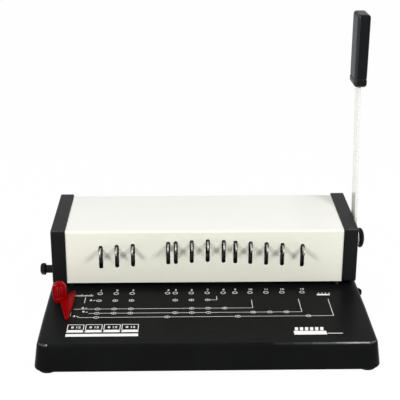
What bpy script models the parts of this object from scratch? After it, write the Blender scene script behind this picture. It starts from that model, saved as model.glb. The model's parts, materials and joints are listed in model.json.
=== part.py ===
"""Thirteen-hole lever punch for loose-leaf sheets.

Metres, +Z up. X runs along the row of holes, +Y points from the paper table to the back, and the
object stands on z = 0. The model is laid out with x = 0 at the middle of the housing and y = 0 on the
face of the slotted panel. One empty then moves it all, so that the origin is at the middle of its
outline on the ground.
"""

from math import acos, atan2, cos, pi, radians, sin, sqrt, tan

import bmesh
import bpy
from mathutils import Vector

# Fits shared by all pieces
SEAT_GAP = 0.0003
OVERRUN = 0.004

# Base
FOOT_HEIGHT = 0.006
FOOT_RADIUS = 0.010
FOOT_EDGE = 0.001
FOOT_INSET = 0.0137
BASE_WALL_HEIGHT = 0.030
BASE_APRON = 0.144
BASE_REAR_MARGIN = 0.005
BASE_SIDE_MARGIN = 0.0024
BASE_FLARE = 0.004
BASE_SHEET = 0.002
BASE_CORNER = 0.015
BASE_EDGE = 0.004
BOTTOM_SHEET = 0.0012

# Row of holes
HOLE_SPAN = 0.240
HOLE_SHIFT = -0.0037
hole_place_shares = [mark / 240 for mark in (0, 19, 38, 80, 89, 108, 127, 146, 160, 178, 197, 216, 240)]
slot_peak_share = 127 / 240
slot_fall_share = 0.059
tip_fall_share = 0.016
PIN_RADIUS = 0.003
PIN_SETBACK = 0.0244
PIN_TIP_DRAW = 0.003
COLLAR_WIDTH = 0.0007
COLLAR_HEIGHT = 0.0015

# Housing cover and end caps
COVER_END_MARGIN = 0.0452
COVER_DEPTH = 0.116
COVER_FRONT_RISE = 0.072
COVER_REAR_RISE = 0.076
COVER_SHEET = 0.0015
COVER_BEND = 0.003
PANEL_LIFT = 0.006
SLOT_WIDTH = 0.0048
SLOT_TOP_MARGIN = 0.0105
SLOT_TAIL = 0.008
CAP_THICKNESS = 0.0167
CAP_PROUD = 0.0018
CAP_WALL = 0.0025
CAP_CHAMFER = 0.0015
CAP_CORNER = 0.003
CAP_THROAT_DEPTH = 0.022

# Side frames and plates
FRAME_SHEET = 0.003
FRAME_SIDE_SETBACK = 0.0032
FRAME_SETBACK = 0.004
FRAME_TOP_SETBACK = 0.003
LEG_DEPTH = 0.008
DIE_THICKNESS = 0.005
DIE_FRONT_MARGIN = 0.0111
DIE_REAR_MARGIN = 0.008
THROAT_HEIGHT = 0.005
GUIDE_THICKNESS = 0.0085

# Press bar, pull tabs and pin carrier
PRESS_TRAVEL = 0.013
PRESS_STOP_GAP = 0.0006
PRESS_DEPTH = 0.017
PRESS_END_SETBACK = 0.0027
PRESS_FLOOR = 0.003
PRESS_ROOF = 0.008
TAB_THICKNESS = 0.0018
TAB_HEIGHT = 0.0066
TAB_TOP_GAP = 0.0018
TAB_PROUD = 0.015
TAB_TAIL = 0.0041
TAB_CORNER = 0.0012
TAB_EYE_RADIUS = 0.001
TAB_EYE_SETBACK = 0.003
TAB_EYE_STEP = 0.009
CARRIER_SHEET = 0.002
CARRIER_LIP_HEIGHT = 0.0135
CARRIER_LIP_REACH = 0.0164
CARRIER_TOP_SETBACK = 0.004
CARRIER_END_GAP = 0.002

# Guide posts and return springs
POST_RADIUS = 0.003
POST_END_SETBACK = 0.0087
POST_TOP_SETBACK = 0.0037
SPRING_RADIUS = 0.005
SPRING_WIRE_RADIUS = 0.0006
SPRING_TURNS = 6

# Drive: lever angle, shaft, pinions and racks
LEVER_SWING = radians(85)
LEVER_LEAN = radians(9.3)
SHAFT_RISE = 0.042
SHAFT_RADIUS = 0.0055
SHAFT_LEFT_REACH = 0.0012
PINION_TEETH = 12
PRESSURE_ANGLE = radians(20)
GEAR_WIDTH = 0.008
GEAR_END_SETBACK = 0.018
GEAR_BACKLASH = 0.00025
PINION_ADDENDUM = 0.0012
PINION_DEDENDUM = 0.0015
RACK_ADDENDUM = 0.001
RACK_DEDENDUM = 0.0016
RACK_DEPTH = 0.00804
RACK_TEETH_BELOW = 2
RACK_TEETH_ABOVE = 4
BUSH_WALL = 0.0025
FLANGE_WIDTH = 0.0025
FLANGE_THICKNESS = 0.0015

# Lever
LEVER_GAP = 0.0025
LEVER_SHEET = 0.003
LEVER_WIDTH = 0.024
LEVER_LENGTH = 0.190
HUB_RADIUS = 0.009
HUB_HEIGHT = 0.0047
PIVOT_CAP_RADIUS = 0.0123
PIVOT_CAP_HEIGHT = 0.006
PIVOT_CAP_RIM = 0.0015
pivot_cap_face_share = 0.38
TANG_WIDTH = 0.018
TANG_LENGTH = 0.060
GRIP_THICKNESS = 0.0155
GRIP_WIDTH = 0.037
GRIP_LENGTH = 0.086
GRIP_CORNER = 0.0045
GRIP_EDGE = 0.0035
GRIP_TILT = radians(10)

# Margin bar and knob
MARGIN_RISE = 0.006
MARGIN_FIRST_FLAT = 0.0056
MARGIN_FLAT_STEP = 0.0005
MARGIN_FLATS = 5
MARGIN_SIDE_GAP = 0.0005
JOURNAL_RADIUS = 0.004
JOURNAL_REACH = 0.001
STUB_RADIUS = 0.0025
STUB_ENTRY = 0.010
KNOB_NECK_RADIUS = 0.005
KNOB_NECK_LENGTH = 0.013
KNOB_HEAD_RADIUS = 0.0071
KNOB_HEAD_LENGTH = 0.0067
KNOB_HEAD_EDGE = 0.001
KNOB_RECESS_DEPTH = 0.0015
KNOB_LOBES = 4
knob_lobe_share = 0.09
knob_recess_share = 0.6

# Edge guide and its rod
ROD_RADIUS = 0.002
ROD_SETBACK = 0.008
ROD_RISE = 0.009
PAPER_EDGE_OFFSET = 0.0293
GUIDE_RING_WALL = 0.0011
GUIDE_RING_LENGTH = 0.0044
GUIDE_ARM_WIDTH = 0.0022
GUIDE_ARM_HEIGHT = 0.0025
GUIDE_ARM_SETBACK = 0.0002
GUIDE_ARM_ROOT = 0.030
GUIDE_CROSSING_FALL = 0.0025
GUIDE_CROSSING_RISE = 0.001
GUIDE_REACH = 0.086
GUIDE_TIP_WIDTH = 0.0037
GUIDE_TIP_SETBACK = 0.0022
GUIDE_TIP_HEIGHT = 0.003
GUIDE_REAR_HEIGHT = 0.0055
GUIDE_EDGE_FRONT = 0.050
GUIDE_WING_RIGHT = 0.018
GUIDE_WING_LEFT = 0.028
GUIDE_LEDGE_WIDTH = 0.007
GUIDE_LEDGE_DEPTH = 0.0025
THUMB_WIDTH = 0.0159
THUMB_TAPER = 0.0019
THUMB_DEPTH = 0.008
THUMB_HEIGHT = 0.0245
THUMB_OFFSET = 0.009
THUMB_FRONT = 0.040
THUMB_EDGE = 0.0015
THUMB_RIBS = 5
THUMB_RIB_WIDTH = 0.001
THUMB_RIB_PROUD = 0.0006
THUMB_RIB_STEP = 0.0021
THUMB_RIB_LOW = 0.006
THUMB_RIB_HIGH = 0.017

# Chip drawer
DRAWER_WALL = 0.0015
DRAWER_HEADROOM = 0.002
DRAWER_FRONT_PLATE = 0.006
DRAWER_SIDE_GAP = 0.0007
DRAWER_WIDTH = 0.042
DRAWER_LEFT_SETBACK = 0.0087
PULL_RADIUS = 0.012
PULL_THICKNESS = 0.003
PULL_RISE = 0.0045
PULL_SETBACK = 0.0055

# Facets
SMALL_STEPS = 12
LARGE_STEPS = 24
ARC_STEPS = 4
COARSE_ARC_STEPS = 3
SMALL_ARC_STEPS = 2
EYE_STEPS = 8
SPRING_STEPS = 10
WIRE_STEPS = 6
SMOOTH_ANGLE = radians(35)
tight_corner_share = 0.25

# Levels and places that follow from the sizes above
base_top = FOOT_HEIGHT + BASE_WALL_HEIGHT
cover_half = HOLE_SPAN / 2 + COVER_END_MARGIN
cap_outer = cover_half + SEAT_GAP + CAP_THICKNESS
base_half = cap_outer + BASE_SIDE_MARGIN
base_back = COVER_DEPTH + BASE_REAR_MARGIN
crease = base_top + COVER_FRONT_RISE
rear_crease = base_top + COVER_REAR_RISE
frame_outer = cover_half - FRAME_SIDE_SETBACK
frame_inner = frame_outer - FRAME_SHEET
plate_half = frame_inner - SEAT_GAP
die_front = PIN_SETBACK - DIE_FRONT_MARGIN
die_rear = PIN_SETBACK + DIE_REAR_MARGIN
guide_bottom = base_top + THROAT_HEIGHT
guide_top = guide_bottom + GUIDE_THICKNESS
hole_places = [HOLE_SHIFT + HOLE_SPAN * (share - 1 / 2) for share in hole_place_shares]
slot_peak = HOLE_SHIFT + HOLE_SPAN * (slot_peak_share - 1 / 2)
slot_falls = [slot_fall_share * abs(place - slot_peak) for place in hole_places]
slot_length = TAB_TOP_GAP + TAB_HEIGHT + PRESS_TRAVEL + SLOT_TAIL
slot_tops = [crease - SLOT_TOP_MARGIN - fall for fall in slot_falls]
tab_bottoms = [top - TAB_TOP_GAP - TAB_HEIGHT for top in slot_tops]
press_front = PIN_SETBACK - PRESS_DEPTH / 2
press_rear = PIN_SETBACK + PRESS_DEPTH / 2
press_half = plate_half - PRESS_END_SETBACK
press_bottom = min(tab_bottoms) - PRESS_FLOOR
press_top = max(tab_bottoms) + TAB_HEIGHT + PRESS_ROOF
carrier_bottom = guide_top + PRESS_STOP_GAP + PRESS_TRAVEL
carrier_front = PIN_SETBACK - CARRIER_LIP_REACH
carrier_rear = press_rear + SEAT_GAP + CARRIER_SHEET
collar_bottom = carrier_bottom + CARRIER_SHEET + SEAT_GAP
pin_hole_radius = PIN_RADIUS + SEAT_GAP
gear_middle = frame_inner - GEAR_END_SETBACK - GEAR_WIDTH / 2
carrier_half = gear_middle - GEAR_WIDTH / 2 - CARRIER_END_GAP
post_place = plate_half - POST_END_SETBACK
pitch_radius = PRESS_TRAVEL / LEVER_SWING
tooth_step = 2 * pi * pitch_radius / PINION_TEETH
rack_back = press_rear + SEAT_GAP
pitch_line = rack_back + RACK_DEPTH
shaft_y = pitch_line + pitch_radius
shaft_z = base_top + SHAFT_RISE
bush_radius = SHAFT_RADIUS + SEAT_GAP + BUSH_WALL
lever_inner = cap_outer + LEVER_GAP
lever_outer = lever_inner + LEVER_SHEET
hub_end = lever_outer + HUB_HEIGHT
flat_depths = [MARGIN_FIRST_FLAT + MARGIN_FLAT_STEP * index for index in range(MARGIN_FLATS)]
flat_turn = 2 * pi / MARGIN_FLATS
margin_corners = [
    sqrt(depth ** 2 + following ** 2 - 2 * depth * following * cos(flat_turn)) / sin(flat_turn)
    for depth, following in zip(flat_depths, flat_depths[1:] + flat_depths[:1])
]
margin_radius = max(margin_corners)
margin_y = die_rear + MARGIN_SIDE_GAP + margin_radius
margin_z = base_top + MARGIN_RISE
stub_end = cap_outer + SEAT_GAP + STUB_ENTRY
knob_end = cap_outer + SEAT_GAP + KNOB_NECK_LENGTH + KNOB_HEAD_LENGTH
pivot_cap_end = hub_end + SEAT_GAP + PIVOT_CAP_HEIGHT
deck_opening_rear = margin_y + margin_radius + OVERRUN
rod_z = base_top + ROD_RISE
guide_right = hole_places[0] - PAPER_EDGE_OFFSET
guide_floor = base_top + SEAT_GAP
grip_bottom = shaft_z + LEVER_LENGTH
drawer_floor = FOOT_HEIGHT + BOTTOM_SHEET + SEAT_GAP
drawer_top = base_top - LEG_DEPTH - DRAWER_HEADROOM
drawer_front = die_front + DRAWER_SIDE_GAP
drawer_back = drawer_front + DRAWER_WIDTH
centre_x = (pivot_cap_end - knob_end) / 2
centre_y = (base_back - BASE_APRON) / 2


def along_x(point, level):
    """A (y, z) point at x = level."""
    return Vector((level, point[0], point[1]))


def along_y(point, level):
    """An (x, z) point at y = level."""
    return Vector((point[0], level, point[1]))


def along_z(point, level):
    """An (x, y) point at z = level."""
    return Vector((point[0], point[1], level))


def circle(centre, radius, steps):
    """Points round a circle, starting halfway between two axes so that opposite facets are parallel."""
    angles = [2 * pi * (step + 1 / 2) / steps for step in range(steps)]
    return [(centre[0] + radius * cos(angle), centre[1] + radius * sin(angle)) for angle in angles]


def rectangle(low, high):
    """The four corners between a low and a high corner, anticlockwise."""
    return [(low[0], low[1]), (high[0], low[1]), (high[0], high[1]), (low[0], high[1])]


def rounded(corners, radius, inset=0.0, steps=ARC_STEPS):
    """An anticlockwise outline moved in by inset, with its corners rounded. Each corner has the same
    number of points whatever the inset, so rings of one outline can be bridged."""
    points = []
    for index, corner in enumerate(corners):
        here = Vector(corner)
        along = (here - Vector(corners[index - 1])).normalized()
        onward = (Vector(corners[(index + 1) % len(corners)]) - here).normalized()
        inward = Vector((-along.y, along.x))
        turn = atan2(along.cross(onward), along.dot(onward))
        both = inward + Vector((-onward.y, onward.x))
        diagonal = 2 * both / both.length_squared
        bend = max(radius - inset, radius * tight_corner_share) if turn > 0 else -(radius + inset)
        centre = here + diagonal * (inset + bend)
        start = atan2(inward.y, inward.x)
        for step in range(steps + 1):
            angle = start + turn * step / steps
            points.append((centre.x - bend * cos(angle), centre.y - bend * sin(angle)))
    return points


def loft(rings, closed=False):
    """Bridges rings of equally many points, and caps both ends unless the last ring meets the first."""
    bm = bmesh.new()
    rows = [[bm.verts.new(point) for point in ring] for ring in rings]
    pairs = list(zip(rows, rows[1:]))
    if closed:
        pairs.append((rows[-1], rows[0]))
    else:
        bm.faces.new(rows[0])
        bm.faces.new(rows[-1])
    for row, following in pairs:
        for index in range(len(row)):
            bm.faces.new((row[index - 1], row[index], following[index], following[index - 1]))
    bmesh.ops.recalc_face_normals(bm, faces=bm.faces)
    return bm


def prism(stand, outline, low, high):
    """An outline extruded between two levels along the axis of stand."""
    return loft([[stand(point, level) for point in outline] for level in (low, high)])


def box(low, high):
    """A block between two opposite corners."""
    return prism(along_z, rectangle(low, high), low[2], high[2])


def turned(stand, centre, profile, steps):
    """A solid of revolution: profile lists (radius, level) pairs from one flat end to the other."""
    rings = [[stand(point, level) for point in circle(centre, radius, steps)] for radius, level in profile]
    return loft(rings)


def gathered(shapes):
    """Several separate bodies in one mesh, for a cutter with many tools."""
    bm = bmesh.new()
    for shape in shapes:
        mesh = bpy.data.meshes.new("shape")
        shape.to_mesh(mesh)
        shape.free()
        bm.from_mesh(mesh)
        bpy.data.meshes.remove(mesh)
    return bm


def finish(name, colour, roughness, metallic=0.0):
    """A plain surface material."""
    material = bpy.data.materials.new(name)
    material.use_nodes = True
    shader = material.node_tree.nodes["Principled BSDF"]
    shader.inputs["Base Color"].default_value = (*colour, 1)
    shader.inputs["Roughness"].default_value = roughness
    shader.inputs["Metallic"].default_value = metallic
    return material


def empty(name, place, parent=None, lean=0.0):
    """A carrier for the pieces that move together, placed on their axis."""
    obj = bpy.data.objects.new(name, None)
    obj.location = place
    obj.rotation_euler.x = -lean
    obj.parent = parent
    bpy.context.scene.collection.objects.link(obj)
    return obj


def bare_object(name, bm, carrier):
    """An object for a mesh laid out in the machine's own frame, hung on a carrier."""
    if carrier.parent:
        bmesh.ops.translate(bm, vec=-carrier.location, verts=bm.verts)
    mesh = bpy.data.meshes.new(name)
    bm.to_mesh(mesh)
    bm.free()
    obj = bpy.data.objects.new(name, mesh)
    obj.parent = carrier
    bpy.context.scene.collection.objects.link(obj)
    return obj


def piece(name, bm, material, carrier):
    """One finished piece of the machine."""
    obj = bare_object(name, bm, carrier)
    obj.data.materials.append(material)
    obj.data.shade_smooth()
    obj.data.set_sharp_from_angle(angle=SMOOTH_ANGLE)
    return obj


def helper(name, bm, carrier):
    """A hidden shape that cuts or joins a piece."""
    obj = bare_object(name, bm, carrier)
    obj.hide_render = True
    obj.display_type = "WIRE"
    return obj


def combine(target, tool, operation):
    """Adds an exact Boolean to a piece."""
    modifier = target.modifiers.new(tool.name, "BOOLEAN")
    modifier.operation = operation
    modifier.object = tool


def cut(target, name, bm):
    """Cuts a shape out of a piece."""
    combine(target, helper(name, bm, target.parent), "DIFFERENCE")


def join(target, name, bm):
    """Joins a shape to a piece."""
    combine(target, helper(name, bm, target.parent), "UNION")


def sides():
    """The left and the right end, with the sign of x there."""
    return (("left", -1), ("right", 1))


def base_inset(level):
    """How far the drafted base wall has come in at a level."""
    return BASE_FLARE * (level - FOOT_HEIGHT) / BASE_WALL_HEIGHT


def base_ring(level, inset):
    """The base's plan outline at a level, moved in from its lower edge."""
    low = (-base_half - BASE_FLARE, -BASE_APRON - BASE_FLARE)
    high = (base_half + BASE_FLARE, base_back + BASE_FLARE)
    return [along_z(point, level) for point in rounded(rectangle(low, high), BASE_CORNER, inset)]


def drawer_front_face(level, gap=0.0):
    """x of the base's right wall at a level."""
    return base_half + BASE_FLARE - base_inset(level) - gap


def build_base():
    """The base shell with its rolled upper edge, deck opening and drawer doorway, its plate and feet."""
    shoulder = base_top - BASE_EDGE
    rings = []
    for step in range(ARC_STEPS, -1, -1):
        angle = pi / 2 * step / ARC_STEPS
        inset = base_inset(shoulder) + BASE_EDGE * (1 - cos(angle))
        rings.append(base_ring(shoulder + BASE_EDGE * sin(angle), inset))
    rings.append(base_ring(FOOT_HEIGHT, 0.0))
    rings.append(base_ring(FOOT_HEIGHT, BASE_SHEET))
    rings.append(base_ring(shoulder, base_inset(shoulder) + BASE_SHEET))
    rings.append(base_ring(base_top - BASE_SHEET, base_inset(shoulder) + BASE_EDGE))
    shell = piece("base_shell", loft(rings), black_coat, machine)
    deck_half = frame_outer + SEAT_GAP
    deck_low = (-deck_half, die_front - SEAT_GAP, base_top - BASE_SHEET - OVERRUN)
    deck_high = (deck_half, deck_opening_rear, base_top + OVERRUN)
    door_low = (base_half - BASE_EDGE - OVERRUN, drawer_front - SEAT_GAP, drawer_floor - SEAT_GAP)
    door_high = (base_half + BASE_FLARE + OVERRUN, drawer_back + SEAT_GAP, drawer_top + SEAT_GAP)
    cut(shell, "deck_and_doorway", gathered([box(deck_low, deck_high), box(door_low, door_high)]))

    rim = BASE_SHEET + SEAT_GAP
    plate_top = FOOT_HEIGHT + BOTTOM_SHEET
    plate_rings = [base_ring(level, rim + base_inset(level)) for level in (FOOT_HEIGHT, plate_top)]
    piece("bottom_plate", loft(plate_rings), grey_steel, machine)

    foot_profile = (
        (FOOT_RADIUS - FOOT_EDGE, 0.0),
        (FOOT_RADIUS, FOOT_EDGE),
        (FOOT_RADIUS, FOOT_HEIGHT - SEAT_GAP),
    )
    rows = (("front", FOOT_INSET - BASE_APRON), ("rear", base_back - FOOT_INSET))
    for row, place_y in rows:
        for side, sign in sides():
            place = (sign * (base_half - FOOT_INSET), place_y)
            piece(f"foot_{row}_{side}", turned(along_z, place, foot_profile, LARGE_STEPS), rubber, machine)


def hole_tools(radius, low, high, extra_places=()):
    """One round cutter on each pin's axis, and on any further places along the same line."""
    places = hole_places + list(extra_places)
    shapes = [
        turned(along_z, (place, PIN_SETBACK), ((radius, low), (radius, high)), SMALL_STEPS)
        for place in places
    ]
    return gathered(shapes)


def build_plates():
    """The die plate flush with the paper table, and the guide plate above the paper throat."""
    layers = (("die_plate", base_top - DIE_THICKNESS, base_top), ("guide_plate", guide_bottom, guide_top))
    for name, low, high in layers:
        slab = box((-plate_half, die_front, low), (plate_half, die_rear, high))
        plate = piece(name, slab, tool_steel, machine)
        cut(plate, name + "_holes", hole_tools(pin_hole_radius, low - OVERRUN, high + OVERRUN))


def build_frames():
    """The two side frames, whose legs drop into the deck opening, and the bushes of the shaft."""
    outline = [
        (FRAME_SETBACK, base_top + SEAT_GAP),
        (die_front, base_top + SEAT_GAP),
        (die_front, base_top - LEG_DEPTH),
        (die_rear, base_top - LEG_DEPTH),
        (die_rear, base_top + SEAT_GAP),
        (COVER_DEPTH - FRAME_SETBACK, base_top + SEAT_GAP),
        (COVER_DEPTH - FRAME_SETBACK, crease - FRAME_TOP_SETBACK),
        (FRAME_SETBACK, crease - FRAME_TOP_SETBACK),
    ]
    bores = (
        ((shaft_y, shaft_z), bush_radius + SEAT_GAP, LARGE_STEPS),
        ((margin_y, margin_z), JOURNAL_RADIUS + SEAT_GAP, SMALL_STEPS),
        ((ROD_SETBACK, rod_z), ROD_RADIUS + SEAT_GAP, SMALL_STEPS),
    )
    for side, sign in sides():
        frame = piece(
            f"side_frame_{side}",
            prism(along_x, outline, sign * frame_inner, sign * frame_outer),
            grey_steel,
            machine,
        )
        reach = (sign * (frame_inner - OVERRUN), sign * (frame_outer + OVERRUN))
        tools = [
            turned(along_x, centre, [(radius, level) for level in reach], steps)
            for centre, radius, steps in bores
        ]
        cut(frame, f"side_frame_{side}_bores", gathered(tools))

        flange_start = sign * (frame_outer + SEAT_GAP)
        flange_end = flange_start + sign * FLANGE_THICKNESS
        bore = SHAFT_RADIUS + SEAT_GAP
        corners = (
            (bore, sign * frame_inner),
            (bush_radius, sign * frame_inner),
            (bush_radius, flange_start),
            (bush_radius + FLANGE_WIDTH, flange_start),
            (bush_radius + FLANGE_WIDTH, flange_end),
            (bore, flange_end),
        )
        rings = [
            [along_x(point, level) for point in circle((shaft_y, shaft_z), radius, LARGE_STEPS)]
            for radius, level in corners
        ]
        piece(f"shaft_bush_{side}", loft(rings, closed=True), bronze, machine)


def sheet_path(offset):
    """The cover's section, from the panel's lower edge over the roof to the foot of the back."""
    corners = [
        (0.0, base_top + PANEL_LIFT),
        (COVER_DEPTH, base_top + SEAT_GAP),
        (COVER_DEPTH, rear_crease),
        (0.0, crease),
    ]
    bent = rounded(corners, COVER_BEND, offset)
    first_bend = 2 * (ARC_STEPS + 1)
    rear_foot = (COVER_DEPTH - offset, base_top + SEAT_GAP)
    panel_foot = (offset, base_top + PANEL_LIFT)
    return [rear_foot] + bent[first_bend:] + [panel_foot]


def slot_outline(place, top):
    """One upright slot with round ends, as (x, z) points."""
    low = (place - SLOT_WIDTH / 2, top - slot_length)
    high = (place + SLOT_WIDTH / 2, top)
    return rounded(rectangle(low, high), SLOT_WIDTH / 2 - SEAT_GAP)


def build_cover():
    """The bent cover with its thirteen slots, one for each pull tab."""
    section = sheet_path(0.0) + sheet_path(COVER_SHEET)[::-1]
    cover = piece("housing_cover", prism(along_x, section, -cover_half, cover_half), cream_coat, machine)
    slots = [
        prism(along_y, slot_outline(place, top), -OVERRUN, COVER_SHEET + OVERRUN)
        for place, top in zip(hole_places, slot_tops)
    ]
    cut(cover, "panel_slots", gathered(slots))


def build_caps():
    """The hollow end caps, cut back over the paper throat at their front lower corner."""
    corners = [
        (-CAP_PROUD, base_top + PANEL_LIFT),
        (CAP_THROAT_DEPTH, base_top + PANEL_LIFT),
        (CAP_THROAT_DEPTH, base_top + SEAT_GAP),
        (COVER_DEPTH + CAP_PROUD, base_top + SEAT_GAP),
        (COVER_DEPTH + CAP_PROUD, rear_crease + CAP_PROUD),
        (-CAP_PROUD, crease + CAP_PROUD),
    ]
    rim = cover_half + SEAT_GAP
    layers = (
        (cap_outer, CAP_CHAMFER),
        (cap_outer - CAP_CHAMFER, 0.0),
        (rim, 0.0),
        (rim, CAP_WALL),
        (cap_outer - CAP_WALL, CAP_WALL),
    )
    bores = {"left": (margin_y, margin_z, STUB_RADIUS), "right": (shaft_y, shaft_z, SHAFT_RADIUS)}
    for side, sign in sides():
        rings = [
            [along_x(point, sign * level) for point in rounded(corners, CAP_CORNER, inset, COARSE_ARC_STEPS)]
            for level, inset in layers
        ]
        cap = piece(f"end_cap_{side}", loft(rings), black_plastic, machine)
        centre_y_here, centre_z_here, radius = bores[side]
        reach = (sign * (cap_outer - CAP_WALL - OVERRUN), sign * (cap_outer + OVERRUN))
        profile = [(radius + SEAT_GAP, level) for level in reach]
        bore = turned(along_x, (centre_y_here, centre_z_here), profile, LARGE_STEPS)
        cut(cap, f"end_cap_{side}_bore", bore)


def build_posts():
    """The guide posts on the guide plate, and the return springs round them."""
    spring_low = guide_top + SEAT_GAP + SPRING_WIRE_RADIUS
    spring_high = press_bottom - SEAT_GAP - SPRING_WIRE_RADIUS
    for side, sign in sides():
        place = (sign * post_place, PIN_SETBACK)
        profile = ((POST_RADIUS, guide_top + SEAT_GAP), (POST_RADIUS, press_top - POST_TOP_SETBACK))
        piece(f"guide_post_{side}", turned(along_z, place, profile, SMALL_STEPS), tool_steel, machine)

        rings = []
        count = SPRING_TURNS * SPRING_STEPS
        for step in range(count + 1):
            angle = 2 * pi * step / SPRING_STEPS
            level = spring_low + (spring_high - spring_low) * step / count
            outward = Vector((cos(angle), sin(angle), 0.0))
            middle = along_z(place, level) + SPRING_RADIUS * outward
            rings.append([
                middle + SPRING_WIRE_RADIUS * (outward * cos(turn) + Vector((0.0, 0.0, sin(turn))))
                for turn in [2 * pi * (corner + 1 / 2) / WIRE_STEPS for corner in range(WIRE_STEPS)]
            ])
        piece(f"return_spring_{side}", loft(rings), spring_steel, machine)


def build_press():
    """The press bar with a window for each pull tab, the pin carrier and the racks."""
    bar = piece(
        "press_bar",
        box((-press_half, press_front, press_bottom), (press_half, press_rear, press_top)),
        grey_steel,
        press,
    )
    posts = (-post_place, post_place)
    bores = hole_tools(pin_hole_radius, press_bottom - OVERRUN, press_top + OVERRUN, posts)
    cut(bar, "press_bar_bores", bores)
    reach = TAB_THICKNESS / 2 + SEAT_GAP
    windows = [
        box(
            (place - reach, press_front - OVERRUN, bottom - SEAT_GAP),
            (place + reach, press_rear + OVERRUN, bottom + TAB_HEIGHT + SEAT_GAP),
        )
        for place, bottom in zip(hole_places, tab_bottoms)
    ]
    cut(bar, "press_bar_windows", gathered(windows))

    lip_top = carrier_bottom + CARRIER_LIP_HEIGHT
    wall_top = press_top - CARRIER_TOP_SETBACK
    inside = carrier_bottom + CARRIER_SHEET
    section = [
        (carrier_front, carrier_bottom),
        (carrier_rear, carrier_bottom),
        (carrier_rear, wall_top),
        (carrier_rear - CARRIER_SHEET, wall_top),
        (carrier_rear - CARRIER_SHEET, inside),
        (carrier_front + CARRIER_SHEET, inside),
        (carrier_front + CARRIER_SHEET, lip_top),
        (carrier_front, lip_top),
    ]
    carrier = piece("pin_carrier", prism(along_x, section, -carrier_half, carrier_half), bright_steel, press)
    cut(carrier, "pin_carrier_holes", hole_tools(pin_hole_radius, carrier_bottom - OVERRUN, inside + OVERRUN))

    for side, sign in sides():
        low = sign * gear_middle - GEAR_WIDTH / 2
        piece(f"rack_{side}", prism(along_x, rack_outline(), low, low + GEAR_WIDTH), tool_steel, press)


def rack_outline():
    """The rack's section: a straight back and flat-sided teeth that face the pinion."""
    half_tooth = tooth_step / 4 - GEAR_BACKLASH / 4
    tip_half = half_tooth - RACK_ADDENDUM * tan(PRESSURE_ANGLE)
    root_half = half_tooth + RACK_DEDENDUM * tan(PRESSURE_ANGLE)
    tip = pitch_line + RACK_ADDENDUM
    root = pitch_line - RACK_DEDENDUM
    low = shaft_z - RACK_TEETH_BELOW * tooth_step
    high = shaft_z + RACK_TEETH_ABOVE * tooth_step
    points = [(rack_back, low), (root, low)]
    for index in range(-RACK_TEETH_BELOW, RACK_TEETH_ABOVE):
        middle = shaft_z + (index + 1 / 2) * tooth_step
        points.extend([
            (root, middle - root_half),
            (tip, middle - tip_half),
            (tip, middle + tip_half),
            (root, middle + root_half),
        ])
    points.append((root, high))
    points.append((rack_back, high))
    return points


def involute(angle):
    """The involute function of an angle."""
    return tan(angle) - angle


def pinion_outline():
    """An involute pinion as (y, z) points, with one tooth pointing at the rack."""
    base_radius = pitch_radius * cos(PRESSURE_ANGLE)
    tip_radius = pitch_radius + PINION_ADDENDUM
    root_radius = pitch_radius - PINION_DEDENDUM
    half_at_pitch = (tooth_step / 2 - GEAR_BACKLASH / 2) / (2 * pitch_radius)
    half_at_base = half_at_pitch + involute(PRESSURE_ANGLE)
    flank = [(root_radius, half_at_base)]
    for radius in (base_radius, pitch_radius, tip_radius):
        flank.append((radius, half_at_base - involute(acos(base_radius / radius))))
    points = []
    for tooth in range(PINION_TEETH):
        middle = pi + 2 * pi * tooth / PINION_TEETH
        for radius, half in flank:
            points.append((shaft_y + radius * cos(middle - half), shaft_z + radius * sin(middle - half)))
        for radius, half in reversed(flank):
            points.append((shaft_y + radius * cos(middle + half), shaft_z + radius * sin(middle + half)))
    return points


def build_pins():
    """The thirteen pins. Each hangs by its collar on the carrier and ends under its pull tab."""
    for number, (place, fall, bottom) in enumerate(zip(hole_places, slot_falls, tab_bottoms), start=1):
        tip = guide_bottom + PIN_TIP_DRAW - tip_fall_share / slot_fall_share * fall
        collar_top = collar_bottom + COLLAR_HEIGHT
        profile = (
            (PIN_RADIUS, tip),
            (PIN_RADIUS, collar_bottom),
            (PIN_RADIUS + COLLAR_WIDTH, collar_bottom),
            (PIN_RADIUS + COLLAR_WIDTH, collar_top),
            (PIN_RADIUS, collar_top),
            (PIN_RADIUS, bottom - SEAT_GAP),
        )
        pin = turned(along_z, (place, PIN_SETBACK), profile, SMALL_STEPS)
        piece(f"punch_pin_{number:02d}", pin, tool_steel, press)


def build_tabs():
    """The thirteen pull tabs: flat bars through the windows, each with two eyes in its front end."""
    for number, (place, bottom) in enumerate(zip(hole_places, tab_bottoms), start=1):
        tail = PIN_SETBACK + TAB_TAIL
        corners = rectangle((-TAB_PROUD, bottom), (tail, bottom + TAB_HEIGHT))
        outline = rounded(corners, TAB_CORNER, 0.0, SMALL_ARC_STEPS)
        sliding = empty(f"pull_tab_{number:02d}_slide", Vector((place, 0.0, bottom)), machine)
        tab_low = place - TAB_THICKNESS / 2
        tab_high = place + TAB_THICKNESS / 2
        plate = prism(along_x, outline, tab_low, tab_high)
        tab = piece(f"pull_tab_{number:02d}", plate, bright_steel, sliding)
        reach = (tab_low - OVERRUN, tab_high + OVERRUN)
        eyes = []
        for eye in range(2):
            centre = (-TAB_EYE_SETBACK - eye * TAB_EYE_STEP, bottom + TAB_HEIGHT / 2)
            profile = [(TAB_EYE_RADIUS, level) for level in reach]
            eyes.append(turned(along_x, centre, profile, EYE_STEPS))
        cut(tab, f"pull_tab_{number:02d}_eyes", gathered(eyes))


def along_grip(across, along):
    """A (y, z) point on the grip's tilted axes, measured from the middle of its lower end."""
    return (
        shaft_y + across * cos(GRIP_TILT) - along * sin(GRIP_TILT),
        grip_bottom + across * sin(GRIP_TILT) + along * cos(GRIP_TILT),
    )


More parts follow.
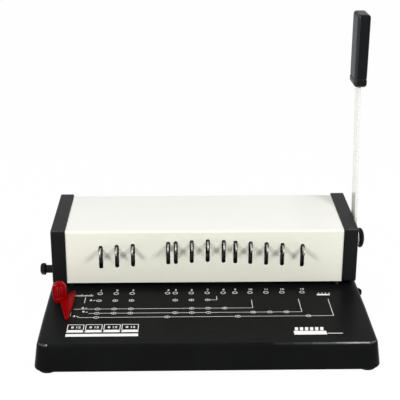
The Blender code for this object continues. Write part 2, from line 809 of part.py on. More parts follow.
def rounded_ends(low, high, edge):
    """Levels and insets of the rings that round both ends of a solid."""
    quarter = [pi / 2 * step / COARSE_ARC_STEPS for step in range(COARSE_ARC_STEPS + 1)]
    lower = [(low + edge * (1 - cos(angle)), edge * (1 - sin(angle))) for angle in quarter]
    upper = [(high - edge * (1 - cos(angle)), edge * (1 - sin(angle))) for angle in reversed(quarter)]
    return lower + upper


def build_lever():
    """The lever with its hub, grip and cap, and the shaft and pinions that it turns."""
    pivot = (shaft_y, shaft_z)
    half = LEVER_WIDTH / 2
    tang_half = TANG_WIDTH / 2
    foot = [
        (shaft_y + half * cos(angle), shaft_z + half * sin(angle))
        for angle in [pi + pi * step / SMALL_STEPS for step in range(SMALL_STEPS + 1)]
    ]
    outline = foot + [
        along_grip(half, -SEAT_GAP),
        along_grip(tang_half, -SEAT_GAP),
        along_grip(tang_half, TANG_LENGTH),
        along_grip(-tang_half, TANG_LENGTH),
        along_grip(-tang_half, -SEAT_GAP),
        along_grip(-half, -SEAT_GAP),
    ]
    arm = piece("lever_arm", prism(along_x, outline, lever_inner, lever_outer), pale_coat, lever)
    hub_start = lever_outer - LEVER_SHEET / 2
    hub = turned(along_x, pivot, ((HUB_RADIUS, hub_start), (HUB_RADIUS, hub_end)), LARGE_STEPS)
    join(arm, "lever_hub", hub)
    bore = SHAFT_RADIUS + SEAT_GAP
    bore_profile = ((bore, lever_inner - OVERRUN), (bore, hub_end + OVERRUN))
    cut(arm, "lever_bore", turned(along_x, pivot, bore_profile, LARGE_STEPS))

    middle_x = (lever_inner + lever_outer) / 2
    corners = rectangle((-GRIP_THICKNESS / 2, -GRIP_WIDTH / 2), (GRIP_THICKNESS / 2, GRIP_WIDTH / 2))
    rings = []
    for along, inset in rounded_ends(0.0, GRIP_LENGTH, GRIP_EDGE):
        section = rounded(corners, GRIP_CORNER, inset)
        rings.append([along_x(along_grip(across, along), middle_x + point_x) for point_x, across in section])
    grip = piece("lever_grip", loft(rings), gloss_black, lever)
    pocket_half = tang_half + SEAT_GAP
    pocket = [
        along_grip(-pocket_half, -OVERRUN),
        along_grip(pocket_half, -OVERRUN),
        along_grip(pocket_half, TANG_LENGTH + SEAT_GAP),
        along_grip(-pocket_half, TANG_LENGTH + SEAT_GAP),
    ]
    cut(grip, "grip_pocket", prism(along_x, pocket, lever_inner - SEAT_GAP, lever_outer + SEAT_GAP))

    cap_start = hub_end + SEAT_GAP
    rise = PIVOT_CAP_HEIGHT - PIVOT_CAP_RIM
    last_angle = acos(pivot_cap_face_share)
    dome = [(PIVOT_CAP_RADIUS, cap_start)]
    for step in range(ARC_STEPS + 1):
        angle = last_angle * step / ARC_STEPS
        level = cap_start + PIVOT_CAP_RIM + rise * sin(angle) / sin(last_angle)
        dome.append((PIVOT_CAP_RADIUS * cos(angle), level))
    piece("pivot_cap", turned(along_x, pivot, dome, LARGE_STEPS), gloss_black, lever)

    shaft_start = -(frame_outer + SEAT_GAP + FLANGE_THICKNESS + SHAFT_LEFT_REACH)
    shaft_profile = ((SHAFT_RADIUS, shaft_start), (SHAFT_RADIUS, hub_end - SEAT_GAP))
    piece("drive_shaft", turned(along_x, pivot, shaft_profile, LARGE_STEPS), tool_steel, shaft)
    for side, sign in sides():
        low_x = sign * gear_middle - GEAR_WIDTH / 2
        high_x = low_x + GEAR_WIDTH
        pinion = piece(f"pinion_{side}", prism(along_x, pinion_outline(), low_x, high_x), tool_steel, shaft)
        bore_profile = ((bore, low_x - OVERRUN), (bore, high_x + OVERRUN))
        cut(pinion, f"pinion_{side}_bore", turned(along_x, pivot, bore_profile, LARGE_STEPS))


def build_margin():
    """The five-sided margin bar that stops the paper at one of five depths, and its lobed knob."""
    centre = (margin_y, margin_z)
    flats = []
    for index in range(MARGIN_FLATS):
        depth, following = flat_depths[index], flat_depths[(index + 1) % MARGIN_FLATS]
        facing = pi + flat_turn * index
        across = (following - depth * cos(flat_turn)) / sin(flat_turn)
        flats.append((
            margin_y + depth * cos(facing) - across * sin(facing),
            margin_z + depth * sin(facing) + across * cos(facing),
        ))
    bar_half = plate_half
    bar = piece("margin_bar", prism(along_x, flats, -bar_half, bar_half), bright_steel, margin)
    journal_end = frame_outer + JOURNAL_REACH
    for side, sign in sides():
        profile = [(JOURNAL_RADIUS, sign * level) for level in (bar_half - OVERRUN, journal_end)]
        if side == "left":
            profile += [(STUB_RADIUS, -journal_end), (STUB_RADIUS, -stub_end)]
        join(bar, f"margin_journal_{side}", turned(along_x, centre, profile, SMALL_STEPS))

    def lobed_ring(radius, x, share):
        points = []
        for step in range(LARGE_STEPS):
            angle = 2 * pi * step / LARGE_STEPS
            reach = radius * (1 + share * cos(KNOB_LOBES * angle))
            points.append(along_x((margin_y + reach * cos(angle), margin_z + reach * sin(angle)), x))
        return points

    near = -cap_outer - SEAT_GAP
    head = near - KNOB_NECK_LENGTH
    bore = STUB_RADIUS + SEAT_GAP
    recess = KNOB_HEAD_RADIUS * knob_recess_share
    rings = [
        lobed_ring(bore, -stub_end - SEAT_GAP, 0.0),
        lobed_ring(bore, near, 0.0),
        lobed_ring(KNOB_NECK_RADIUS, near, 0.0),
        lobed_ring(KNOB_NECK_RADIUS, head, 0.0),
        lobed_ring(KNOB_HEAD_RADIUS, head - KNOB_HEAD_EDGE, knob_lobe_share),
        lobed_ring(KNOB_HEAD_RADIUS, -knob_end + KNOB_HEAD_EDGE, knob_lobe_share),
        lobed_ring(KNOB_HEAD_RADIUS - KNOB_HEAD_EDGE, -knob_end, knob_lobe_share),
        lobed_ring(recess, -knob_end, 0.0),
        lobed_ring(recess, -knob_end + KNOB_RECESS_DEPTH, 0.0),
    ]
    piece("margin_knob", loft(rings), black_plastic, margin)


def build_edge_guide():
    """The red edge guide: a pointer on the paper table, a ribbed thumb piece and an arm that hooks up
    behind the panel to its rod."""
    reach = frame_outer
    rod_profile = ((ROD_RADIUS, -reach), (ROD_RADIUS, reach))
    rod = turned(along_x, (ROD_SETBACK, rod_z), rod_profile, SMALL_STEPS)
    piece("edge_guide_rod", rod, bright_steel, machine)

    thumb_right = guide_right - THUMB_OFFSET
    thumb_left = thumb_right - THUMB_WIDTH
    foot_left = thumb_left + THUMB_TAPER
    thumb_back = THUMB_DEPTH - THUMB_FRONT
    ledge_front = -THUMB_FRONT - GUIDE_LEDGE_DEPTH
    tip_right = guide_right - GUIDE_TIP_SETBACK
    slope_share = (GUIDE_REAR_HEIGHT - GUIDE_TIP_HEIGHT) / (GUIDE_REACH - GUIDE_WING_RIGHT)
    plan = [
        (tip_right - GUIDE_TIP_WIDTH, -GUIDE_REACH),
        (tip_right, -GUIDE_REACH),
        (guide_right, -GUIDE_EDGE_FRONT),
        (guide_right, -GUIDE_WING_RIGHT),
        (thumb_right, -GUIDE_WING_LEFT),
        (foot_left, thumb_back),
        (foot_left, ledge_front),
        (foot_left + GUIDE_LEDGE_WIDTH, ledge_front),
    ]
    plan = rounded(plan, TAB_CORNER, 0.0, SMALL_ARC_STEPS)
    top = [
        along_z(point, guide_floor + GUIDE_TIP_HEIGHT + slope_share * (point[1] + GUIDE_REACH))
        for point in plan
    ]
    plate = loft([[along_z(point, guide_floor) for point in plan], top])
    guide = piece("edge_guide", plate, red_plastic, edge_guide)

    middle_x = (thumb_left + thumb_right) / 2
    arch_level = guide_floor + THUMB_HEIGHT - THUMB_WIDTH / 2
    thumb_low = guide_floor + GUIDE_TIP_HEIGHT / 2
    rings = []
    for level, inset in rounded_ends(-THUMB_FRONT, thumb_back, THUMB_EDGE):
        radius = THUMB_WIDTH / 2 - inset
        arch = [
            (middle_x + radius * cos(angle), arch_level + radius * sin(angle))
            for angle in [pi * step / SMALL_STEPS for step in range(SMALL_STEPS + 1)]
        ]
        face = [(foot_left + inset, thumb_low), (thumb_right - inset, thumb_low)] + arch
        rings.append([along_y(point, level) for point in face])
    join(guide, "guide_thumb", loft(rings))

    ribs = []
    for index in range(THUMB_RIBS):
        rib_x = middle_x + (index - (THUMB_RIBS - 1) / 2) * THUMB_RIB_STEP
        rib_low = (rib_x - THUMB_RIB_WIDTH / 2, -THUMB_FRONT - THUMB_RIB_PROUD, guide_floor + THUMB_RIB_LOW)
        rib_high = (rib_x + THUMB_RIB_WIDTH / 2, -THUMB_FRONT + THUMB_EDGE, guide_floor + THUMB_RIB_HIGH)
        ribs.append(box(rib_low, rib_high))
    join(guide, "guide_ribs", gathered(ribs))

    ring_left = guide_right - GUIDE_RING_WALL - GUIDE_RING_LENGTH
    ring_right = ring_left + GUIDE_RING_LENGTH
    hook_front = COVER_SHEET + SEAT_GAP
    hook_back = FRAME_SETBACK - SEAT_GAP
    arm_left = thumb_right - GUIDE_ARM_SETBACK
    arm_right = arm_left + GUIDE_ARM_WIDTH
    arm_low = (arm_left, -GUIDE_ARM_ROOT, guide_floor)
    arm_high = (arm_right, hook_back - SEAT_GAP, guide_floor + GUIDE_ARM_HEIGHT)
    join(guide, "guide_arm", box(arm_low, arm_high))
    crossing_low = rod_z - GUIDE_CROSSING_FALL
    crossing_high = rod_z + GUIDE_CROSSING_RISE
    hook = [
        (arm_left + SEAT_GAP, guide_floor + SEAT_GAP),
        (arm_right - SEAT_GAP, guide_floor + SEAT_GAP),
        (arm_right - SEAT_GAP, crossing_low),
        (ring_right - SEAT_GAP, crossing_low),
        (ring_right - SEAT_GAP, crossing_high),
        (arm_left + SEAT_GAP, crossing_high),
    ]
    join(guide, "guide_hook", prism(along_y, hook, hook_front, hook_back))
    link_low = (ring_left + SEAT_GAP, hook_front + SEAT_GAP, crossing_low + SEAT_GAP)
    link_high = (ring_right - SEAT_GAP * 2, ROD_SETBACK - SEAT_GAP, crossing_high - SEAT_GAP)
    join(guide, "guide_link", box(link_low, link_high))
    eye = ROD_RADIUS + SEAT_GAP
    centre = (ROD_SETBACK, rod_z)
    ring_profile = ((eye + GUIDE_RING_WALL, ring_left), (eye + GUIDE_RING_WALL, ring_right))
    join(guide, "guide_ring", turned(along_x, centre, ring_profile, LARGE_STEPS))
    eye_profile = ((eye, ring_left - OVERRUN), (eye, ring_right + OVERRUN))
    cut(guide, "guide_eye", turned(along_x, centre, eye_profile, SMALL_STEPS))


def build_drawer():
    """The chip drawer under the dies, with a front flush with the base's wall and a half-round pull."""
    left = -(frame_inner - DRAWER_LEFT_SETBACK)
    section = [
        (left, drawer_floor),
        (drawer_front_face(drawer_floor), drawer_floor),
        (drawer_front_face(drawer_top), drawer_top),
        (left, drawer_top),
    ]
    tray = piece("chip_drawer", prism(along_y, section, drawer_front, drawer_back), black_plastic, drawer)
    plate_inside = drawer_front_face(drawer_top) - DRAWER_FRONT_PLATE
    hollow_low = (left + DRAWER_WALL, drawer_front + DRAWER_WALL, drawer_floor + DRAWER_WALL)
    hollow_high = (plate_inside, drawer_back - DRAWER_WALL, drawer_top + OVERRUN)
    cut(tray, "drawer_hollow", box(hollow_low, hollow_high))
    pull_x = plate_inside + PULL_SETBACK
    pull_low = drawer_floor + PULL_RISE
    pull_y = (drawer_front + drawer_back) / 2
    pull = [
        (pull_x + PULL_RADIUS * cos(angle), pull_y + PULL_RADIUS * sin(angle))
        for angle in [-pi / 2 + pi * step / SMALL_STEPS for step in range(SMALL_STEPS + 1)]
    ]
    join(tray, "drawer_pull", prism(along_z, pull, pull_low, pull_low + PULL_THICKNESS))


for old in list(bpy.data.objects):
    bpy.data.objects.remove(old)

black_coat = finish("black_coat", (0.018, 0.018, 0.019), 0.5)
cream_coat = finish("cream_coat", (0.72, 0.71, 0.62), 0.45)
pale_coat = finish("pale_coat", (0.62, 0.60, 0.55), 0.4)
black_plastic = finish("black_plastic", (0.015, 0.015, 0.016), 0.4)
gloss_black = finish("gloss_black", (0.008, 0.008, 0.009), 0.15)
red_plastic = finish("red_plastic", (0.45, 0.004, 0.008), 0.25)
bright_steel = finish("bright_steel", (0.62, 0.62, 0.63), 0.28, 1.0)
tool_steel = finish("tool_steel", (0.42, 0.42, 0.43), 0.32, 1.0)
grey_steel = finish("grey_steel", (0.30, 0.30, 0.31), 0.45, 1.0)
spring_steel = finish("spring_steel", (0.35, 0.35, 0.36), 0.35, 1.0)
bronze = finish("bronze", (0.50, 0.33, 0.16), 0.4, 1.0)
rubber = finish("rubber", (0.02, 0.02, 0.02), 0.8)

machine = empty("machine", (-centre_x, -centre_y, 0.0))
press = empty("press_slide", Vector((0.0, PIN_SETBACK, press_bottom)), machine)
lever = empty("lever_pivot", Vector((0.0, shaft_y, shaft_z)), machine, LEVER_LEAN)
shaft = empty("shaft_axis", Vector((0.0, shaft_y, shaft_z)), machine)
margin = empty("margin_axis", Vector((0.0, margin_y, margin_z)), machine)
edge_guide = empty("edge_guide_slide", Vector((0.0, ROD_SETBACK, rod_z)), machine)
drawer = empty("drawer_slide", Vector((0.0, drawer_front, drawer_floor)), machine)

build_base()
build_plates()
build_frames()
build_cover()
build_caps()
build_posts()
build_press()
build_pins()
build_tabs()
build_lever()
build_margin()
build_edge_guide()
build_drawer()
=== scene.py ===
"""Scene of the thirteen-hole lever punch.

Metres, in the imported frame. Shapes are laid out like the part: x = 0 at the middle of the housing and
y = 0 on the face of the slotted panel. The helper solid() moves them to the frame's own origin.
"""

import json
from math import cos, pi, radians, sin, sqrt

import bmesh
import bpy
from mathutils import Matrix, Vector


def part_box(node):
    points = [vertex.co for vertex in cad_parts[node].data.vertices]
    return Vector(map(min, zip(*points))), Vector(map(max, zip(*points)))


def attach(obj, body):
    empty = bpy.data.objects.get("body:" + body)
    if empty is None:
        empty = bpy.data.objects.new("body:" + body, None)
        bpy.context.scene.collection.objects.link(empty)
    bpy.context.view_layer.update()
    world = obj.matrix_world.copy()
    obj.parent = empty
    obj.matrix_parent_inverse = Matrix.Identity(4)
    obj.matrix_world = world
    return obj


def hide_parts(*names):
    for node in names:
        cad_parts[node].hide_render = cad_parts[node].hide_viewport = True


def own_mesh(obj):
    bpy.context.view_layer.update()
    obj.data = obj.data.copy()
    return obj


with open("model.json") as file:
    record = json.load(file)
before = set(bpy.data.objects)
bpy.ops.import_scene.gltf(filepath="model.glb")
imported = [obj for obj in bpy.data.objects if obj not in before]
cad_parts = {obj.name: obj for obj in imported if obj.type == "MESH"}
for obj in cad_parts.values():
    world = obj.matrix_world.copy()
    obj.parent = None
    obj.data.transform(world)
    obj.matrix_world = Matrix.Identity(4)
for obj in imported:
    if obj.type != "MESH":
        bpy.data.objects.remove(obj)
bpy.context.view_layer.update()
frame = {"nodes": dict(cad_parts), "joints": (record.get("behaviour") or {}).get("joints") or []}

# Places taken from the frame
cover_low, cover_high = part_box("housing_cover")
origin = Vector(((cover_low.x + cover_high.x) / 2, cover_low.y, 0.0))


def place_of(node):
    """The low and high corner of a CAD node in the layout used here."""
    low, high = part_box(node)
    return low - origin, high - origin


base_low, base_high = place_of("base_shell")
base_top = base_high.z
cover_half = (cover_high.x - cover_low.x) / 2
cover_depth = cover_high.y - cover_low.y
rear_crease = cover_high.z
cap_high = place_of("end_cap_right")[1]
cap_outer = cap_high.x
shaft_low, shaft_high = place_of("drive_shaft")
shaft_y = (shaft_low.y + shaft_high.y) / 2
shaft_z = (shaft_low.z + shaft_high.z) / 2
margin_bar_rear = place_of("margin_bar")[1].y
rod_low, rod_high = place_of("edge_guide_rod")
rod_y = (rod_low.y + rod_high.y) / 2
rod_z = (rod_low.z + rod_high.z) / 2
tab_boxes = [place_of(f"pull_tab_{number:02d}") for number in range(1, 14)]
hole_places = [(low.x + high.x) / 2 for low, high in tab_boxes]
drawer_low, drawer_high = place_of("chip_drawer")
die_plate_front = place_of("die_plate")[0].y

# Sizes that the part has too, a few of them under another name
SEAT_GAP = 0.0003
OVERRUN = 0.004
FOOT_HEIGHT = 0.006
FOOT_RADIUS = 0.010
BASE_FLARE = 0.004
BASE_SHEET = 0.002
BASE_CORNER = 0.015
FRONT_RISE = 0.072
COVER_SHEET = 0.0015
PANEL_LIFT = 0.006
SLOT_WIDTH = 0.0048
SLOT_LENGTH = 0.0294
TAB_TOP_GAP = 0.0018
TAB_HEIGHT = 0.0066
TAB_THICKNESS = 0.0018
TAB_EYE_SETBACK = 0.003
CAP_PROUD = 0.0018
CAP_WALL = 0.0025
CAP_CORNER = 0.003
CAP_THROAT_DEPTH = 0.022
SHAFT_RADIUS = 0.0055
SPRING_WIRE = 0.0006
SPRING_TURNS = 6
LEVER_LEAN = radians(9.3)
LEVER_GAP = 0.0025
LEVER_SHEET = 0.003
LEVER_WIDTH = 0.024
LEVER_LENGTH = 0.190
HUB_RADIUS = 0.009
HUB_HEIGHT = 0.0047
PIVOT_CAP_RADIUS = 0.0123
PIVOT_CAP_HEIGHT = 0.006
PIVOT_CAP_RIM = 0.0015
TANG_WIDTH = 0.018
TANG_LENGTH = 0.060
GRIP_THICKNESS = 0.0155
GRIP_WIDTH = 0.037
GRIP_LENGTH = 0.086
GRIP_CORNER = 0.0045
GRIP_EDGE = 0.0035
GRIP_TILT = radians(10)
STUB_RADIUS = 0.0025
STUB_ENTRY = 0.010
KNOB_NECK_RADIUS = 0.005
KNOB_NECK_LENGTH = 0.013
KNOB_HEAD_RADIUS = 0.0071
KNOB_HEAD_LENGTH = 0.0067
KNOB_LOBES = 4
GUIDE_OFFSET = 0.0293
DECK_HALF = 0.1623
ROD_RADIUS = 0.002
GUIDE_RING_WALL = 0.0011
GUIDE_RING_LENGTH = 0.0044
DRAWER_WALL = 0.0015
DRAWER_FRONT_PLATE = 0.006
PULL_RADIUS = 0.012
PULL_THICKNESS = 0.003
PULL_SETBACK = 0.0055

# Sizes that only this scene has, or that differ from the part's
ROUND_STEPS = 48
BASE_EDGE = 0.0048
COVER_BEND = 0.0025
REAR_BEND = 0.0045
TAB_PROUD = 0.017
TAB_CORNER = 0.0029
TAB_EYE_RADIUS = 0.0014
TAB_EYE_STEP = 0.010
SHADE_PLUG_PROUD = 0.00045
CAP_EDGE = 0.0015
KNOB_EDGE = 0.001
PULL_RISE = 0.0020
FOOT_SHIFT = 0.0032
BOTTOM_EDGE = 0.0012
FRONT_CUT_LEFT = 0.0008
FRONT_CUT_RIGHT = 0.0014
FRONT_CUT_END_LEFT = -0.080
FRONT_CUT_END_RIGHT = -0.050
SLOT_LIP = 0.0003
SLOT_CORNER_CUT = 0.0002
TAB_EDGE = 0.0003
EYE_BEVEL = 0.0002
SHADE_PLUG_BEVEL = 0.0004
ARM_EDGE = 0.0004
HUB_EDGE = 0.0004
GRIP_COLLAR = 0.0085
DOME_ANGLE = radians(68)
DRAWER_EDGE = 0.0003
THUMB_HALF = 0.00795
THUMB_RISE = 0.0236
THUMB_SETBACK = 0.009
THUMB_FRONT = -0.0395
THUMB_BACK = -0.032
THUMB_FOOT_IN = 0.0019
THUMB_TAPER_RISE = 0.013
THUMB_CROWN = 0.0105
THUMB_CROWN_FALL = 0.0060
THUMB_BULGE = 0.0014
THUMB_BULGE_POWER = 2.5
THUMB_ARCH_POWER = 2.1
THUMB_SHIFT = 0.0003
RIB_REACH = 0.0065
RIB_RADIUS = 0.0007
RIB_LOW = 0.0065
RIB_LENGTH = 0.0105
RIM_LOW = 0.003
RIM_TOP_GAP = 0.0006
RIM_RADIUS = 0.0008
RIM_SHARE = 0.94
RIM_SETBACK = 0.0011
LEDGE_RADIUS = 0.0006
LEDGE_SHIFT = 0.0006
BEAD_PROUD = 0.0001
RIB_SUNK = 0.0001
GLEAM_RISE = 0.0178
GLEAM_OFFSET = 0.0024
POINTER_TIP = -0.086
POINTER_TIP_RISE = 0.003
POINTER_ROOT = -0.018
POINTER_ROOT_RISE = 0.0055
POINTER_TIP_SETBACK = 0.0022
POINTER_TIP_WIDTH = 0.0037
POINTER_CORNER = 0.0012
GUIDE_FOOT_FRONT = -0.0425
GUIDE_FOOT_WIDTH = 0.007
GUIDE_RING_SETBACK = 0.0011
GUIDE_ARM_OFFSET = 0.0030
GUIDE_ARM_WIDTH = 0.0017
GUIDE_ARM_HEIGHT = 0.0013
GUIDE_ARM_FRONT = -0.034
RISER_OFFSET = 0.0002
RISER_WIDTH = 0.0022
CROSSING_FALL = 0.0025
CROSSING_RISE = 0.001
HOOK_BACK = 0.004

crease = base_top + FRONT_RISE
lever_inner = cap_outer + LEVER_GAP
lever_outer = lever_inner + LEVER_SHEET
hub_end = lever_outer + HUB_HEIGHT
guide_right = hole_places[0] - GUIDE_OFFSET


def along_x(point, level):
    return Vector((level, point[0], point[1]))


def along_y(point, level):
    return Vector((point[0], level, point[1]))


def along_z(point, level):
    return Vector((point[0], point[1], level))


def quarter_turn(steps):
    """Angles from nothing to a right angle."""
    return [pi / 2 * step / steps for step in range(steps + 1)]


def half_turn(start, steps=32):
    return [start + pi * step / steps for step in range(steps + 1)]


def full_turn(steps):
    return [2 * pi * step / steps for step in range(steps)]


def circle(centre, radius, steps):
    angles = [2 * pi * (step + 1 / 2) / steps for step in range(steps)]
    return [(centre[0] + radius * cos(angle), centre[1] + radius * sin(angle)) for angle in angles]


def rectangle(low, high):
    return [(low[0], low[1]), (high[0], low[1]), (high[0], high[1]), (low[0], high[1])]


def rounded(corners, radius, inset=0.0, steps=10):
    """An anticlockwise outline moved in by inset, with its corners rounded."""
    points = []
    for index, corner in enumerate(corners):
        here = Vector(corner)
        along = (here - Vector(corners[index - 1])).normalized()
        onward = (Vector(corners[(index + 1) % len(corners)]) - here).normalized()
        inward = Vector((-along.y, along.x))
        turn = along.angle_signed(onward, 0.0) * -1
        both = inward + Vector((-onward.y, onward.x))
        diagonal = 2 * both / both.length_squared
        bend = max(radius - inset, radius * 0.25) if turn > 0 else -(radius + inset)
        centre = here + diagonal * (inset + bend)
        start = Vector((1.0, 0.0)).angle_signed(inward) * -1
        for step in range(steps + 1):
            angle = start + turn * step / steps
            points.append((centre.x - bend * cos(angle), centre.y - bend * sin(angle)))
    return points


def loft(rings, closed=False):
    """Bridges rings of equally many points."""
    bm = bmesh.new()
    rows = [[bm.verts.new(point) for point in ring] for ring in rings]
    pairs = list(zip(rows, rows[1:]))
    if closed:
        pairs.append((rows[-1], rows[0]))
    else:
        bm.faces.new(rows[0])
        bm.faces.new(rows[-1])
    for row, following in pairs:
        for index in range(len(row)):
            bm.faces.new((row[index - 1], row[index], following[index], following[index - 1]))
    bmesh.ops.recalc_face_normals(bm, faces=bm.faces)
    return bm


def prism(stand, outline, low, high):
    return loft([[stand(point, level) for point in outline] for level in (low, high)])


def box(low, high):
    return prism(along_z, rectangle(low, high), low[2], high[2])


def turned(stand, centre, profile, steps):
    """A solid of revolution: profile lists (radius, level) pairs from one flat end to the other."""
    return loft([
        [stand(point, level) for point in circle(centre, radius, steps)]
        for radius, level in profile
    ])


def edged(stand, corners, radius, low, high, edge, steps, edge_steps):
    """An extruded rounded outline whose two end edges are rounded as well."""
    angles = quarter_turn(edge_steps)
    layers = [(low + edge * (1 - cos(angle)), angle) for angle in angles]
    layers += [(high - edge * (1 - cos(angle)), angle) for angle in reversed(angles)]
    return loft([
        [stand(point, level) for point in rounded(corners, radius, edge * (1 - sin(angle)), steps)]
        for level, angle in layers
    ])


def swept(path, radius, steps=8):
    """A round bead along a path, tapered to half at its ends."""
    rings = []
    for index, point in enumerate(path):
        before = path[max(index - 1, 0)]
        after = path[min(index + 1, len(path) - 1)]
        along = (after - before).normalized()
        side = along.cross(Vector((0.0, 1.0, 0.3))).normalized()
        over = side.cross(along)
        reach = radius * (0.5 if index in (0, len(path) - 1) else 1.0)
        rings.append([
            point + reach * (side * cos(turn) + over * sin(turn))
            for turn in full_turn(steps)
        ])
    return loft(rings)


def gathered(shapes):
    """Several separate bodies in one mesh."""
    bm = bmesh.new()
    for shape in shapes:
        mesh = bpy.data.meshes.new("shape")
        shape.to_mesh(mesh)
        shape.free()
        bm.from_mesh(mesh)
        bpy.data.meshes.remove(mesh)
    return bm


def new_object(name, bm):
    mesh = bpy.data.meshes.new(name)
    bm.to_mesh(mesh)
    bm.free()
    obj = bpy.data.objects.new(name, mesh)
    bpy.context.scene.collection.objects.link(obj)
    return obj


def settled(obj):
    """Replaces an object's mesh by what its modifiers make of it."""
    bpy.context.view_layer.update()
    graph = bpy.context.evaluated_depsgraph_get()
    mesh = bpy.data.meshes.new_from_object(obj.evaluated_get(graph))
    old = obj.data
    obj.modifiers.clear()
    obj.data = mesh
    mesh.name = obj.name
    bpy.data.meshes.remove(old)


def shaped(obj, bm, operation):
    """Cuts or joins a shape exactly, and settles the result."""
    tool = new_object("tool", bm)
    modifier = obj.modifiers.new("shape", "BOOLEAN")
    modifier.operation = operation
    modifier.solver = "EXACT"
    modifier.object = tool
    settled(obj)
    bpy.data.meshes.remove(tool.data)


def solid(name, bm, material, body, nodes=(), cuts=(), joins=(), edge=0.0, lean=0.0, smooth=35,
          zones=None):
    """One finished piece: booleans, soft edges, smooth shading, place, material and carrier.

    Zones holds a list of further materials and a test, which gives a face 0 for the piece's own
    material or the number of one in the list.
    """
    obj = new_object(name, bm)
    for shape in joins:
        shaped(obj, shape, "UNION")
    for shape in cuts:
        shaped(obj, shape, "DIFFERENCE")
    if edge:
        bevel = obj.modifiers.new("edge", "BEVEL")
        bevel.width = edge
        bevel.segments = 2
        bevel.limit_method = "ANGLE"
        bevel.angle_limit = radians(40)
        bevel.harden_normals = False
        settled(obj)
    if lean:
        pivot = Vector((0.0, shaft_y, shaft_z))
        tilt = Matrix.Rotation(-lean, 4, "X")
        obj.data.transform(Matrix.Translation(pivot) @ tilt @ Matrix.Translation(-pivot))
    obj.data.transform(Matrix.Translation(origin))
    obj.data.materials.clear()
    obj.data.materials.append(material)
    if zones:
        others, test = zones
        for other in others:
            obj.data.materials.append(other)
        for face in obj.data.polygons:
            face.material_index = int(test(face.center - origin, face.normal))
    obj.data.shade_smooth()
    obj.data.set_sharp_from_angle(angle=radians(smooth))
    weighted = obj.modifiers.new("normals", "WEIGHTED_NORMAL")
    weighted.keep_sharp = True
    weighted.weight = 60
    settled(obj)
    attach(obj, body)
    if nodes:
        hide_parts(*nodes)
    return obj


# Materials

def surface(name, colour, roughness, metallic=0.0, specular=0.5, mottle=0.05, patch=0.04, grain=0.0,
            grain_size=0.0008, spread=0.06, brushed=None):
    """A material whose colour, roughness and fine relief vary over the surface."""
    material = bpy.data.materials.new(name)
    material.use_nodes = True
    tree = material.node_tree
    shader = tree.nodes["Principled BSDF"]
    shader.inputs["Metallic"].default_value = metallic
    shader.inputs["Specular IOR Level"].default_value = specular
    place = tree.nodes.new("ShaderNodeTexCoord")
    source = place.outputs["Object"]
    if brushed:
        stretch = tree.nodes.new("ShaderNodeMapping")
        stretch.inputs["Scale"].default_value = brushed
        tree.links.new(source, stretch.inputs["Vector"])
        fine_source = stretch.outputs["Vector"]
    else:
        fine_source = source

    patches = tree.nodes.new("ShaderNodeTexNoise")
    patches.inputs["Scale"].default_value = 1 / patch
    patches.inputs["Detail"].default_value = 4.0
    tree.links.new(source, patches.inputs["Vector"])
    ramp = tree.nodes.new("ShaderNodeValToRGB")
    ramp.color_ramp.elements[0].position = 0.3
    ramp.color_ramp.elements[1].position = 0.7
    ramp.color_ramp.elements[0].color = (*[part * (1 - mottle) for part in colour], 1)
    ramp.color_ramp.elements[1].color = (*[min(part * (1 + mottle), 1.0) for part in colour], 1)
    tree.links.new(patches.outputs["Fac"], ramp.inputs["Fac"])
    tree.links.new(ramp.outputs["Color"], shader.inputs["Base Color"])

    fine = tree.nodes.new("ShaderNodeTexNoise")
    fine.inputs["Scale"].default_value = 1 / grain_size
    fine.inputs["Detail"].default_value = 3.0
    tree.links.new(fine_source, fine.inputs["Vector"])
    levels = tree.nodes.new("ShaderNodeMapRange")
    levels.inputs["From Min"].default_value = 0.25
    levels.inputs["From Max"].default_value = 0.75
    levels.inputs["To Min"].default_value = max(roughness - spread, 0.03)
    levels.inputs["To Max"].default_value = min(roughness + spread, 1.0)
    mixed = tree.nodes.new("ShaderNodeMath")
    mixed.operation = "MULTIPLY_ADD"
    mixed.inputs[1].default_value = 0.5
    tree.links.new(fine.outputs["Fac"], mixed.inputs[0])
    half = tree.nodes.new("ShaderNodeMath")
    half.operation = "MULTIPLY"
    half.inputs[1].default_value = 0.5
    tree.links.new(patches.outputs["Fac"], half.inputs[0])
    tree.links.new(half.outputs["Value"], mixed.inputs[2])
    tree.links.new(mixed.outputs["Value"], levels.inputs["Value"])
    tree.links.new(levels.outputs["Result"], shader.inputs["Roughness"])

    if grain:
        bump = tree.nodes.new("ShaderNodeBump")
        bump.inputs["Strength"].default_value = 1.0
        bump.inputs["Distance"].default_value = grain
        tree.links.new(fine.outputs["Fac"], bump.inputs["Height"])
        tree.links.new(bump.outputs["Normal"], shader.inputs["Normal"])
    return material


black_coat = surface("black_coat", (0.0050, 0.0052, 0.0054), 0.34, specular=0.026, mottle=0.12,
                     grain=0.00003)
HIGHLIGHT_GLOSS = (0.15, 0.35, 0.65, 0.90)
painted_highlight_steps = [
    surface(f"black_coat_edge_{step}", (0.008, 0.008, 0.0085), 0.17, specular=gloss, mottle=0.12,
            patch=0.01)
    for step, gloss in enumerate(HIGHLIGHT_GLOSS, start=1)
]
cream_coat = surface("cream_coat", (0.777, 0.774, 0.674), 0.50, specular=0.12, mottle=0.012,
                     patch=0.09, grain=0.000008, grain_size=0.0011)
# A lighter, greyer copy of the cream coat for the roof: painted light.
painted_light_cream = surface("cream_coat_painted_light", (0.805, 0.805, 0.757), 0.45, specular=0.2, mottle=0.012,
                     patch=0.09, grain=0.000008, grain_size=0.0011)
# The lever arm's pale coat: a darker copy on its outer faces, painted shade, and a lighter copy on the
# faces toward the housing, painted light.
pale_coat = surface("pale_coat", (0.68, 0.685, 0.64), 0.14, specular=0.4, mottle=0.012, spread=0.02)
pale_coat_lit_side = surface("pale_coat_painted_light", (0.93, 0.935, 0.87), 0.14, specular=0.6, mottle=0.012,
                    spread=0.02)
black_plastic = surface("black_plastic", (0.0085, 0.0088, 0.0094), 0.38, specular=0.07, mottle=0.10,
                        grain=0.00004, grain_size=0.0006)
